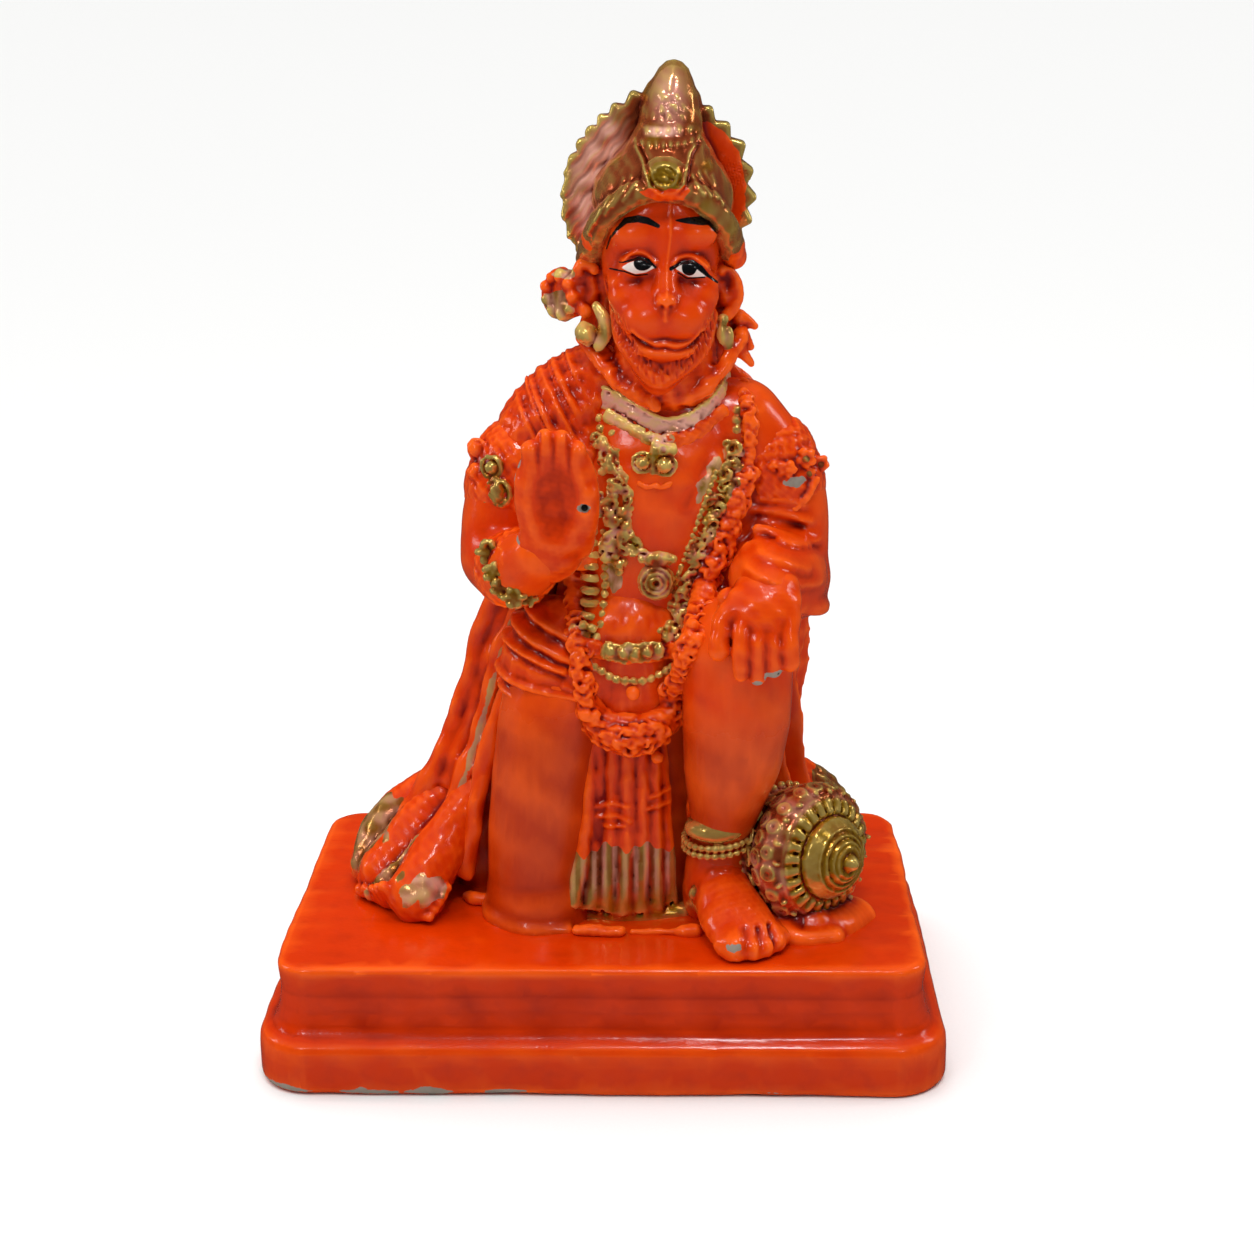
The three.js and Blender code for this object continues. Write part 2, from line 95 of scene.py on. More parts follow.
ahead = Vector((math.sin(YAW) * math.cos(PITCH), math.cos(YAW) * math.cos(PITCH), -math.sin(PITCH)))
level = Vector((math.cos(YAW), -math.sin(YAW), 0))
above = level.cross(ahead)
side = level * math.cos(ROLL) + above * math.sin(ROLL)
top = above * math.cos(ROLL) - level * math.sin(ROLL)

camera_data = bpy.data.cameras.new("camera")
camera_data.sensor_width = 36
camera_data.lens = LENS * camera_data.sensor_width / PICTURE
camera_data.clip_end = 100
camera = bpy.data.objects.new("camera", camera_data)
camera.matrix_world = Matrix((side, top, -ahead)).transposed().to_4x4()
camera.location = Vector(CAMERA_AT) * MM
bpy.context.collection.objects.link(camera)
bpy.context.scene.camera = camera
print("lens:", round(camera_data.lens, 1), "mm")

# %% [markdown]
# ## Colour and nodes
# Colours are written as they look on a screen. Blender mixes light in linear values, so one function
# turns a hex colour to linear. One more adds a shader node with its settings and its links.

# %% Colour and node helpers
def linear(hex_colour):
    """An sRGB hex colour as linear red, green, blue and alpha."""
    parts = [int(hex_colour[i : i + 2], 16) / 255 for i in (1, 3, 5)]
    return (*(c / 12.92 if c <= 0.04045 else ((c + 0.055) / 1.055) ** 2.4 for c in parts), 1.0)


def add_node(tree, kind, values=None, links=None, **settings):
    """A shader node: settings are its options, and values and links go into its sockets."""
    made = tree.nodes.new("ShaderNode" + kind)
    for name, value in settings.items():
        setattr(made, name, value)
    for socket, value in (values or {}).items():
        made.inputs[socket].default_value = value
    for socket, source in (links or {}).items():
        tree.links.new(source, made.inputs[socket])
    return made


def new_material(name):
    """A material with its Principled shader, and nothing else in its tree."""
    material = bpy.data.materials.new(name)
    material.use_nodes = True
    tree = material.node_tree
    tree.nodes.clear()
    shader = add_node(tree, "BsdfPrincipled")
    add_node(tree, "OutputMaterial", links={"Surface": shader.outputs[0]})
    return material, tree, shader

# %% [markdown]
# ## Floor and light
# A wide bright ceiling lights the paper evenly, so it stays white to the far edge. Five soft boxes, three
# in front and one at each side, give the enamel its sharp shine. The room is white only where the camera
# sees it and dim for everything else, because a bright one would lay a pale veil over all of the gloss.
# The floor is a wide sheet of matt white paper.

# %% Paper floor
paper, tree, shader = new_material("matt_white_paper")
PAPER_TOOTH = 0.8  # mm, coarser than real paper, so that it shows
place = add_node(tree, "TexCoord").outputs["Object"]
tooth = add_node(tree, "TexNoise", {"Scale": 1 / (PAPER_TOOTH * MM), "Detail": 2},
                 {"Vector": place}).outputs[0]
# Mix nodes take A and B on sockets 2 and 3 for numbers, and 6 and 7 for colours, which come out at 2.
NUMBER_A, NUMBER_B = 2, 3
COLOUR_A, COLOUR_B, COLOUR_OUT = 6, 7, 2
tint = add_node(
    tree, "Mix", {COLOUR_A: linear("#F1F1F0"), COLOUR_B: linear("#F7F7F6")}, {0: tooth}, data_type="RGBA"
).outputs[COLOUR_OUT]
tree.links.new(tint, shader.inputs["Base Color"])
shader.inputs["Roughness"].default_value = 0.9

FLOOR_REACH = 30.0  # metres each way, so that its far edge is out of sight
floor_mesh = bpy.data.meshes.new("paper_floor")
corners = [(x * FLOOR_REACH, y * FLOOR_REACH, 0) for x, y in ((-1, -1), (1, -1), (1, 1), (-1, 1))]
floor_mesh.from_pydata(corners, [], [(0, 1, 2, 3)])
floor_mesh.materials.append(paper)
floor = bpy.data.objects.new("paper_floor", floor_mesh)
bpy.context.collection.objects.link(floor)
floor.visible_glossy = False  # a white floor mirrored in the gloss would lay a pale veil over the red

# %% Room and soft boxes
world = bpy.data.worlds.new("pale_room")
bpy.context.scene.world = world
world.use_nodes = True
room = world.node_tree.nodes["Background"]
room.inputs["Color"].default_value = linear("#FAFAF8")
# the room is dim for the light that falls on things, and white where it is seen beyond the paper's edge
seen = add_node(world.node_tree, "LightPath").outputs["Is Camera Ray"]
glow = add_node(world.node_tree, "MapRange", {"To Min": 0.05, "To Max": 1.0}, {"Value": seen}).outputs[0]
world.node_tree.links.new(glow, room.inputs["Strength"])
bpy.context.scene.view_settings.view_transform = "Standard"


def aimed(lamp, at, aim):
    """Hangs a lamp at one point, in mm, so that it faces another."""
    held = bpy.data.objects.new(lamp.name, lamp)
    held.location = Vector(at) * MM
    held.rotation_euler = (Vector(aim) - Vector(at)).to_track_quat("-Z", "Y").to_euler()
    bpy.context.collection.objects.link(held)
    return held


def soft_box(name, at, size, watts):
    """A lamp behind a square cloth, which faces the figure."""
    lamp = bpy.data.lights.new(name, "AREA")
    lamp.shape = "RECTANGLE"
    lamp.size, lamp.size_y = (edge * MM for edge in size)
    lamp.energy = watts
    aimed(lamp, at, (5, -10, 150))


ceiling = bpy.data.lights.new("bright_ceiling", "SUN")
ceiling.energy = 3.45
ceiling.angle = math.radians(88)
hung = aimed(ceiling, (-120, 110, 900), (0, 0, 0))
hung.visible_glossy = False  # for the same reason as the floor

soft_box("front_left", (-330, -520, 520), (84, 120), 0.42)
soft_box("front_right", (300, -520, 430), (34, 120), 0.16)
soft_box("front_top", (60, -300, 780), (110, 70), 0.9)
soft_box("side_left", (-620, 40, 330), (80, 220), 0.3)
soft_box("side_right", (560, 80, 420), (70, 200), 0.35)
print("lights:", [light.name for light in bpy.data.lights])

# %% [markdown]
# ## Clay
# A block of clay is a grid of points that each know their distance to the surface, below zero inside.
# Joining two forms is taking the smaller distance, and taking it softly leaves a fillet, as plaster and
# paint do in every corner. Modelling by distances could be done with metaballs too, but those don't
# allow relief, cuts or flat forms.

# %% A block of clay
FAR = 9.0  # mm, the distance where nothing is near


class Clay:
    """A grid of distances. Each form in it is a list of (lowest corner, highest corner, distance)."""

    def __init__(self, low, high, step):
        self.box = low, high
        self.low, self.step = np.array(low, float), step
        self.shape = np.ceil((np.array(high) - self.low) / step).astype(int) + 1
        self.axes = [
            np.float32(start) + np.arange(n, dtype=np.float32) * np.float32(step)
            for start, n in zip(self.low, self.shape)
        ]
        # distances to the surface, to what is painted gold, and to all the rest
        self.near, self.gold, self.rest = (np.full(self.shape, FAR, np.float32) for _ in range(3))

    def window(self, low, high):
        first = np.floor((np.array(low) - self.low) / self.step).astype(int)
        last = np.ceil((np.array(high) - self.low) / self.step).astype(int) + 1
        first, last = np.clip(first, 0, self.shape), np.clip(last, 0, self.shape)
        return tuple(slice(a, max(a, b)) for a, b in zip(first, last))

    def points(self, window):
        return np.meshgrid(*(axis[cut] for axis, cut in zip(self.axes, window)), indexing="ij", sparse=True)

    def distance(self, form, window, margin):
        """The distance to a form within a window, worked out only close to its parts."""
        found = np.full([cut.stop - cut.start for cut in window], FAR, np.float32)
        for low, high, distance in form:
            own = self.window(np.array(low) - margin, np.array(high) + margin)
            own = [slice(max(a.start, b.start), min(a.stop, b.stop)) for a, b in zip(own, window)]
            if any(cut.stop <= cut.start for cut in own):
                continue
            inner = tuple(slice(a.start - b.start, a.stop - b.start) for a, b in zip(own, window))
            found[inner] = np.minimum(found[inner], distance(*self.points(own)))
        return found

    def around(self, form, margin):
        low = np.min([part[0] for part in form], axis=0) - margin
        high = np.max([part[1] for part in form], axis=0) + margin
        return self.window(low, high)

    def add(self, form, soft=1.0, gold=False):
        """Joins a form on, with a fillet about soft mm wide."""
        margin = soft + 2 * self.step
        window = self.around(form, margin)
        new = self.distance(form, window, margin)
        old = self.near[window]
        share = np.clip(0.5 + 0.5 * (old - new) / soft, 0, 1)
        self.near[window] = old + (new - old) * share - soft * share * (1 - share)
        kind = self.gold if gold else self.rest
        kind[window] = np.minimum(kind[window], new)

    def cut(self, form, soft=1.0):
        """Takes a form away, with a rounded edge."""
        margin = soft + 2 * self.step
        window = self.around(form, margin)
        new = -self.distance(form, window, margin)
        old = self.near[window]
        share = np.clip(0.5 + 0.5 * (new - old) / soft, 0, 1)
        self.near[window] = old + (new - old) * share + soft * share * (1 - share)

    def emboss(self, low, high, height, reach=3.0):
        """Raises the surface in a window by height(x, y, z) mm, or sinks it where that is negative."""
        window = self.window(low, high)
        part = self.near[window]
        at = np.nonzero(np.abs(part) < reach)
        x, y, z = (axis[cut][i] for axis, cut, i in zip(self.axes, window, at))
        part[at] -= height(x, y, z).astype(np.float32)

# %% [markdown]
# ## Forms
# Five kinds of form are enough: a ball, a limb that tapers along a curve, a form turned on a lathe, a
# ring, and a plain function. A limb may be flatter than it is wide, as a fold or a palm is.

# %% Balls, limbs, turned forms and rings
def ball(at, radii, lean=0.0):
    """An ellipsoid, which leans to the right by an angle."""
    x0, y0, z0 = map(float, at)
    rx, ry, rz = (float(radii),) * 3 if np.isscalar(radii) else map(float, radii)
    c, s, reach = math.cos(lean), math.sin(lean), max(rx, ry, rz)

    def distance(x, y, z):
        x, y, z = x - x0, y - y0, z - z0
        x, z = c * x - s * z, c * z + s * x
        a, b, d = (x / rx) ** 2, (y / ry) ** 2, (z / rz) ** 2
        near = np.sqrt(a + b + d)
        slope = np.sqrt(a / rx**2 + b / ry**2 + d / rz**2) + 1e-6
        return near * (near - 1) / slope

    return [([x0 - reach, y0 - reach, z0 - reach], [x0 + reach, y0 + reach, z0 + reach], distance)]


def curve(stations, steps):
    """More stations on a smooth curve through the ones given."""
    given = np.array(stations, float)
    padded = np.vstack([2 * given[0] - given[1], given, 2 * given[-1] - given[-2]])
    made = []
    for a, b, c, d in zip(padded, padded[1:], padded[2:], padded[3:]):
        for t in np.arange(steps) / steps:
            made.append(
                0.5 * (2 * b + (c - a) * t + (2 * a - 5 * b + 4 * c - d) * t**2
                       + (3 * b - a - 3 * c + d) * t**3)
            )
    return np.array(made + [given[-1]])


def tapered(start, end, wide):
    """One stretch of a limb between two stations [x, y, z, half width, half depth]."""
    x0, y0, z0, w0, d0 = start.tolist()
    along = end[:3] - start[:3]
    length = float(along @ along) + 1e-9
    flat = wide - along * (wide @ along) / length
    sx, sy, sz = (flat / (np.linalg.norm(flat) + 1e-9)).tolist()
    ax, ay, az = along.tolist()
    dw, dd = (end - start).tolist()[3:]
    reach = max(start[3:].max(), end[3:].max())

    def distance(x, y, z):
        x, y, z = x - x0, y - y0, z - z0
        t = np.clip((x * ax + y * ay + z * az) / length, 0, 1)
        across = x * sx + y * sy + z * sz
        x, y, z = x - ax * t, y - ay * t, z - az * t
        half, deep = w0 + dw * t, d0 + dd * t
        return np.sqrt(x * x + y * y + z * z + across * across * ((deep / half) ** 2 - 1)) - deep

    return (np.minimum(start, end)[:3] - reach, np.maximum(start, end)[:3] + reach, distance)


def limb(stations, wide=(1, 0, 0), steps=6):
    """A limb through stations [x, y, z, half width, half depth]. The width lies along wide."""
    path = curve([(*s, s[3]) if len(s) == 4 else s for s in stations], steps)
    return [tapered(a, b, np.array(wide, float)) for a, b in zip(path, path[1:])]


def section(profile, r, t):
    """The distance to a profile [r, t] that bounds all that is nearer the axis."""
    best, inside = np.full(r.shape, FAR**2, np.float32), np.zeros(r.shape, bool)
    for (r0, t0), (r1, t1) in zip(profile, profile[1:]):
        share = ((r - r0) * (r1 - r0) + (t - t0) * (t1 - t0)) / ((r1 - r0) ** 2 + (t1 - t0) ** 2)
        share = np.clip(share, 0, 1)
        best = np.minimum(best, (r - r0 - (r1 - r0) * share) ** 2 + (t - t0 - (t1 - t0) * share) ** 2)
        if t0 != t1:
            inside ^= ((t0 > t) != (t1 > t)) & (r < r0 + (r1 - r0) * (t - t0) / (t1 - t0))
    return np.where(inside, -1, 1) * np.sqrt(best)


def turned(profile, at, axis):
    """A form turned on a lathe: profile [radius, distance along axis], from the axis to the axis."""
    x0, y0, z0 = map(float, at)
    ax, ay, az = (np.array(axis, float) / np.linalg.norm(axis)).tolist()
    reach = max(math.hypot(r, t) for r, t in profile)

    def distance(x, y, z):
        x, y, z = x - x0, y - y0, z - z0
        t = x * ax + y * ay + z * az
        return section(profile, np.sqrt(np.maximum(x * x + y * y + z * z - t * t, 0)), t)

    return [(np.array(at) - reach, np.array(at) + reach, distance)]


def hoop(at, axis, radius, thick):
    """A ring, like a curl or a setting."""
    x0, y0, z0 = map(float, at)
    ax, ay, az = (np.array(axis, float) / np.linalg.norm(axis)).tolist()
    reach = radius + thick

    def distance(x, y, z):
        x, y, z = x - x0, y - y0, z - z0
        t = x * ax + y * ay + z * az
        r = np.sqrt(np.maximum(x * x + y * y + z * z - t * t, 0))
        return np.sqrt((r - radius) ** 2 + t * t) - thick

    return [(np.array(at) - reach, np.array(at) + reach, distance)]


# %% Lines in a plane, unevenness, spots and turns
def from_line(u, v, line):
    """Each point's distance in a plane to a line [u, v, half width] minus the line's half width."""
    best = np.full(np.shape(u), FAR, np.float32)
    for (u0, v0, w0), (u1, v1, w1) in zip(line, line[1:]):
        share = np.clip(((u - u0) * (u1 - u0) + (v - v0) * (v1 - v0)) / ((u1 - u0) ** 2 + (v1 - v0) ** 2),
                        0, 1)
        away = np.hypot(u - u0 - (u1 - u0) * share, v - v0 - (v1 - v0) * share)
        best = np.minimum(best, away - w0 - (w1 - w0) * share)
    return best


def ridge(u, v, line, height):
    """A rounded ridge of some height along a line [u, v, half width]."""
    widest = max(width for _, _, width in line)
    away = from_line(u, v, [(a, b, 0) for a, b, _ in line])
    return height * np.exp(-((away / widest) ** 2))


def ripple(x, y, z, size, seed, stretch=(1, 1, 1)):
    """A smooth unevenness between about -1 and 1, with waves some size mm long."""
    random = np.random.default_rng(seed)
    total = 0
    for _ in range(6):
        way = random.normal(size=3)
        way = way / np.linalg.norm(way) * TURN / size * random.uniform(0.7, 1.5) / np.array(stretch)
        total = total + np.sin(x * way[0] + y * way[1] + z * way[2] + random.uniform(0, TURN))
    return total / 3


def spot(points, at, radius, stretch=1):
    """How far each point is inside a round spot, in mm where the spot isn't stretched."""
    return radius - np.linalg.norm((points - at) / stretch, axis=1)


def turns(count, offset=0.0):
    """Angles evenly round a circle."""
    return [TURN * (i + offset) / count for i in range(count)]

# %% [markdown]
# ## A skin over the clay
# The skin has one point in each grid cell that the surface passes through, at the middle of where it
# crosses the cell's edges. Such a skin is smooth and closed. Where it is denser than its piece
# needs, Blender's Decimate thins it where it is flat.

# %% From clay to a mesh
CORNERS = list(product((0, 1), repeat=3))


def skin(near):
    """The points, in grid steps, and the quads of the surface where near is zero."""
    near = near.copy()
    for axis in range(3):
        for end in (0, -1):
            near[tuple(end if i == axis else slice(None) for i in range(3))] = FAR
    inside = near < 0
    n = near.shape
    count = np.zeros([k - 1 for k in n], np.int8)
    for c in CORNERS:
        count += inside[tuple(slice(o, k - 1 + o) for o, k in zip(c, n))]
    cells = np.argwhere((count > 0) & (count < 8))
    order = np.full(count.shape, -1, np.int32)
    order[tuple(cells.T)] = np.arange(len(cells))
    value = {c: near[tuple((cells + c).T)] for c in CORNERS}
    total, hits = np.zeros((len(cells), 3)), np.zeros(len(cells))
    for c in CORNERS:
        for axis in range(3):
            if c[axis]:
                continue
            a, b = value[c], value[tuple(v + (i == axis) for i, v in enumerate(c))]
            crossed = (a < 0) != (b < 0)
            met = np.tile(np.array(c, float), (crossed.sum(), 1))
            met[:, axis] += a[crossed] / (a[crossed] - b[crossed])
            total[crossed] += met
            hits[crossed] += 1
    quads = []
    for axis in range(3):
        u, v = (axis + 1) % 3, (axis + 2) % 3
        window = [slice(1, -1)] * 3
        window[axis] = slice(0, -1)
        a = inside[tuple(window)]
        window[axis] = slice(1, None)
        b = inside[tuple(window)]
        for turned_over, edges in ((False, a & ~b), (True, b & ~a)):
            at = np.argwhere(edges)
            at[:, u] += 1
            at[:, v] += 1
            back_u, back_v = np.eye(3, dtype=int)[u], np.eye(3, dtype=int)[v]
            ring = [order[tuple(cell.T)] for cell in (at, at - back_u, at - back_u - back_v, at - back_v)]
            quads.append(np.stack(ring[::-1] if turned_over else ring, 1))
    return cells + total / hits[:, None], np.concatenate(quads)


def mesh_from(name, points, faces):
    """A smooth-shaded Blender mesh from points in mm above the deck and faces of one size."""
    mesh = bpy.data.meshes.new(name)
    mesh.vertices.add(len(points))
    mesh.vertices.foreach_set("co", ((points + (0, 0, DECK)) * MM).astype(np.float32).ravel())
    mesh.loops.add(faces.size)
    mesh.loops.foreach_set("vertex_index", faces.astype(np.int32).ravel())
    mesh.polygons.add(len(faces))
    mesh.polygons.foreach_set("loop_start", np.arange(0, faces.size, faces.shape[1], dtype=np.int32))
    mesh.polygons.foreach_set("use_smooth", np.ones(len(faces), bool))
    mesh.update(calc_edges=True)
    mesh.validate()
    return mesh


def place_piece(name, mesh):
    """Puts a mesh in the scene as a piece of the casting."""
    piece = bpy.data.objects.new(name, mesh)
    bpy.context.collection.objects.link(piece)
    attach(piece, "root")
    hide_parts(NODE)
    return piece

# %% [markdown]
# ## What the paint needs to know
# Paint is thick in hollows and worn on edges, so each point stores how hollow the surface is there: the
# difference between the mesh and a smoothed copy of it. The shader also uses it to paint shade into
# hollows and highlights onto raised edges. Each point also stores how far it is inside gold paint,
# so that a shader can draw a crisp or brushed border between two points of the mesh.

# %% Measure and store
def mesh_arrays(mesh):
    """The points in mm above the deck, their normals and the edges of a mesh."""
    points, normals = np.empty((2, len(mesh.vertices), 3), np.float32)
    mesh.vertices.foreach_get("co", points.ravel())
    mesh.vertices.foreach_get("normal", normals.ravel())
    edges = np.empty(2 * len(mesh.edges), np.int32)
    mesh.edges.foreach_get("vertices", edges)
    return points / MM - (0, 0, DECK), normals, edges.reshape(-1, 2)


def relaxed(points, edges, rounds):
    """The points after each has moved to the middle of its neighbours a number of times."""
    a, b = np.concatenate([edges, edges[:, ::-1]]).T
    number = np.bincount(a, minlength=len(points)).clip(1)
    for _ in range(rounds):
        points = np.stack([np.bincount(a, axis[b], len(points)) / number for axis in points.T], 1)
    return points


def sample(grid, clay, points):
    """The grid's value at each point, between its eight neighbours."""
    at = ((points - clay.low) / clay.step).clip(0, clay.shape - 1.001)
    cell = at.astype(int)
    share = at - cell
    total = 0
    for c in CORNERS:
        weight = np.prod(np.where(c, share, 1 - share), axis=1)
        total = total + grid[tuple((cell + c).T)] * weight
    return total


def store(mesh, values):
    """Keeps values on the mesh for the shader, each a number for every point or one for all of them."""
    for key, value in values.items():
        every = np.full(len(mesh.vertices), value, np.float32)
        mesh.attributes.new(key, "FLOAT", "POINT").data.foreach_set("value", every)


# stored at a paint's edge, so that a piece without that paint, which reads as 0, is outside it
PAINT_EDGE = 0.36


def sculpted(name, clay, material, paint=None, most=50_000, smooth=0):
    """A piece from clay. paint(points, normals) gives more values for the shader, in mm inside each paint.

    most is the number of triangles it may have: the whole figure stays under a million.
    """
    points, quads = skin(clay.near)
    sides = np.concatenate([quads[:, [i, (i + 1) % 4]] for i in range(4)])
    points = relaxed(points, sides, smooth)
    mesh = mesh_from(name, clay.low + points * clay.step, quads)
    if 2 * len(quads) > most:
        maker = bpy.data.objects.new("maker", mesh)
        bpy.context.collection.objects.link(maker)
        maker.modifiers.new("thin", "DECIMATE").ratio = most / (2 * len(quads))
        thin = bpy.data.meshes.new_from_object(maker.evaluated_get(bpy.context.evaluated_depsgraph_get()))
        bpy.data.objects.remove(maker)
        bpy.data.meshes.remove(mesh)
        mesh = thin
        mesh.name = name
    points, normals, edges = mesh_arrays(mesh)
    # hollows gather paint, and the shader also paints shade into them
    HOLLOW_REACH = 1.6  # mm, the size of the hollows that gather paint
    rounds = int((HOLLOW_REACH / clay.step) ** 2)
    values = {
        "hollow": ((relaxed(points, edges, rounds) - points) * normals).sum(1),
        "gold": (sample(clay.rest, clay, points) - sample(clay.gold, clay, points)).clip(-3, 3),
    }
    for key, value in (paint(points, normals) if paint else {}).items():
        values[key] = np.maximum(values[key], value) if key in values else value
    if "red" in values:
        values["gold"] = np.minimum(values["gold"], -values.pop("red"))
    for key in ("gold", "chip", "black", "white"):
        if key in values:
            values[key] = values[key] + PAINT_EDGE
    store(mesh, values)
    mesh.materials.append(material)
    piece = place_piece(name, mesh)
    print(f"{name}: {sum(len(p.vertices) - 2 for p in mesh.polygons)} triangles")
    return piece

# %% [markdown]
# ## The paint
# The real surface is gloss enamel, brushed thickly over cast plaster, with bronze-powder gold paint on
# top, black and white enamel on the eyes, and bare plaster where it is chipped. Enamel is a hard clear
# resin full of pigment, so it is not metallic, its IOR is about 1.5, and a thin coat gives it small
# sharp highlights. Gold paint is metal powder in varnish: mostly metallic, brighter where it is rubbed
# and brown where it lies deep. Over all of this the colour also holds painted shade in hollows, and painted
# highlights on raised edges and on some gold places. All of it is one skin of paint, so it is one
# material with masks.

# %% Painted plaster
def painted_plaster(name, dark, light):
    """Brushed enamel, gold paint, ink and chips over cast plaster, by the values that the mesh stores."""
    material, tree, shader = new_material(name)
    place = add_node(tree, "TexCoord").outputs["Object"]
    mm = add_node(tree, "VectorMath", {"Scale": 1 / MM}, {0: place}, operation="SCALE").outputs[0]

    # noise at the sizes that the real paint shows, each about half above and half below 0.5
    brushed = add_node(tree, "TexNoise", {"Scale": 1 / 26, "Detail": 3}, {"Vector": mm}).outputs[0]
    pooled = add_node(tree, "TexNoise", {"Scale": 1 / 5, "Detail": 3}, {"Vector": mm}).outputs[0]
    ragged = add_node(tree, "TexNoise", {"Scale": 1 / 1.3, "Detail": 3}, {"Vector": mm}).outputs[0]
    grain = add_node(tree, "TexNoise", {"Scale": 1 / 0.35, "Detail": 2}, {"Vector": mm}).outputs[0]

    stored = {
        key: add_node(tree, "Attribute", attribute_name=key).outputs["Fac"]
        for key in ("hollow", "gold", "rose", "silver", "chip", "black", "white", "matt")
    }
    frayed = add_node(tree, "Math", {1: 0.5}, {0: ragged}, operation="SUBTRACT").outputs[0]
    masks = {}
    for key, fray in (("gold", 0.9), ("chip", 1.2), ("black", 0.12), ("white", 0.12)):
        edge = add_node(tree, "Math", {1: fray}, {0: frayed, 2: stored[key]},
                        operation="MULTIPLY_ADD").outputs[0]
        limits = {"From Min": PAINT_EDGE - 0.05, "From Max": PAINT_EDGE + 0.05}
        masks[key] = add_node(tree, "MapRange", limits, {"Value": edge}).outputs[0]

    # enamel: deep red in hollows, where it pools and where shade is painted in, and lighter along
    # raised edges, where it is thin and where a highlight is painted on
    hollow = add_node(tree, "MapRange", {"From Min": 0.01, "From Max": 0.34},
                      {"Value": stored["hollow"]}).outputs[0]
    raised = add_node(tree, "MapRange", {"From Min": -0.03, "From Max": -0.45},
                      {"Value": stored["hollow"]}).outputs[0]
    coat = add_node(
        tree, "Mix", {COLOUR_A: linear(dark), COLOUR_B: linear(light)}, {0: brushed}, data_type="RGBA"
    ).outputs[COLOUR_OUT]
    blot = add_node(tree, "MapRange", {"From Min": 0.5, "From Max": 0.75, "To Max": 0.3},
                    {"Value": pooled}).outputs[0]
    # the raised tint is partly a painted highlight, and the hollow tint partly painted shade
    for mask, tint_and_painted_light in (
        # matt: a darker brown-orange low on the body, more towards the deck
        (blot, "#B42600"), (stored["matt"], "#BC3400"), (raised, "#FF6414"), (hollow, "#780400"),
    ):
        coat = add_node(
            tree, "Mix", {COLOUR_B: linear(tint_and_painted_light)}, {0: mask, COLOUR_A: coat}, data_type="RGBA"
        ).outputs[COLOUR_OUT]

    # gold: rose brown under yellow gold and dark brown in hollows; bright on raised edges, where it is
    # rubbed and where a highlight is painted on; silvery pink where stored, in places a painted highlight
    rosy = add_node(tree, "Math", {1: 0.55}, {0: pooled, 2: stored["rose"]},
                    operation="MULTIPLY_ADD").outputs[0]
    rosy = add_node(tree, "MapRange", {"From Min": 0.15, "From Max": 0.75}, {"Value": rosy}).outputs[0]
    gilt = add_node(
        tree, "Mix", {COLOUR_A: linear("#BC8C1C"), COLOUR_B: linear("#C45E32")}, {0: rosy}, data_type="RGBA"
    ).outputs[COLOUR_OUT]
    # the raised and silvery tints are partly painted highlights
    for mask, powder_and_painted_highlight in ((stored["silver"], "#FFC0AC"), (raised, "#F4D070"), (hollow, "#6A1800")):
        gilt = add_node(
            tree, "Mix", {COLOUR_B: linear(powder_and_painted_highlight)}, {0: mask, COLOUR_A: gilt}, data_type="RGBA"
        ).outputs[COLOUR_OUT]

    dust = add_node(
        tree, "Mix", {COLOUR_A: linear("#7E756A"), COLOUR_B: linear("#A79C8E")}, {0: pooled},
        data_type="RGBA"
    ).outputs[COLOUR_OUT]
    colour = coat
    for key, over in (("gold", gilt), ("chip", dust)):
        colour = add_node(
            tree, "Mix", links={0: masks[key], COLOUR_A: colour, COLOUR_B: over}, data_type="RGBA"
        ).outputs[COLOUR_OUT]
    for key, ink in (("white", "#EBD9D0"), ("black", "#0C0C0E")):
        colour = add_node(
            tree, "Mix", {COLOUR_B: linear(ink)}, {0: masks[key], COLOUR_A: colour}, data_type="RGBA"
        ).outputs[COLOUR_OUT]
    tree.links.new(colour, shader.inputs["Base Color"])

    # roughness: glossy enamel, duller where it is thin, satin gold, chalky chips
    gloss = add_node(tree, "MapRange", {"To Min": 0.12, "To Max": 0.3}, {"Value": pooled}).outputs[0]
    for mask, roughness in ((stored["matt"], 0.32), (masks["gold"], 0.2), (masks["chip"], 0.85)):
        gloss = add_node(tree, "Mix", {NUMBER_B: roughness}, {0: mask, NUMBER_A: gloss}).outputs[0]
    tree.links.new(gloss, shader.inputs["Roughness"])
    bare = add_node(tree, "Math", {0: 1.0}, {1: masks["chip"]}, operation="SUBTRACT").outputs[0]
    metal = add_node(tree, "Math", links={0: masks["gold"], 1: bare}, operation="MULTIPLY").outputs[0]
    # rubbed silvery places are powder with little varnish, which scatters light more than it mirrors it;
    # the same mask also carries painted highlights on the crown and the chest jewellery
    powder = add_node(tree, "Math", {1: -0.56, 2: 0.7}, {0: stored["silver"]},
                      operation="MULTIPLY_ADD").outputs[0]
    metal = add_node(tree, "Math", links={0: metal, 1: powder}, operation="MULTIPLY").outputs[0]
    tree.links.new(metal, shader.inputs["Metallic"])

    # bump: brush ripples a few mm long, and the fine tooth of the plaster below them
    rough = add_node(tree, "Bump", {"Strength": 0.35, "Distance": 0.25 * MM}, {"Height": ragged}).outputs[0]
    fine = add_node(tree, "Bump", {"Strength": 0.25, "Distance": 0.06 * MM},
                    {"Height": grain, "Normal": rough}).outputs[0]
    tree.links.new(fine, shader.inputs["Normal"])
    shader.inputs["IOR"].default_value = 1.5
    shader.inputs["Specular IOR Level"].default_value = 0.35  # a little dulled by age
    shader.inputs["Coat Weight"].default_value = 0.25
    shader.inputs["Coat Roughness"].default_value = 0.06
    return material


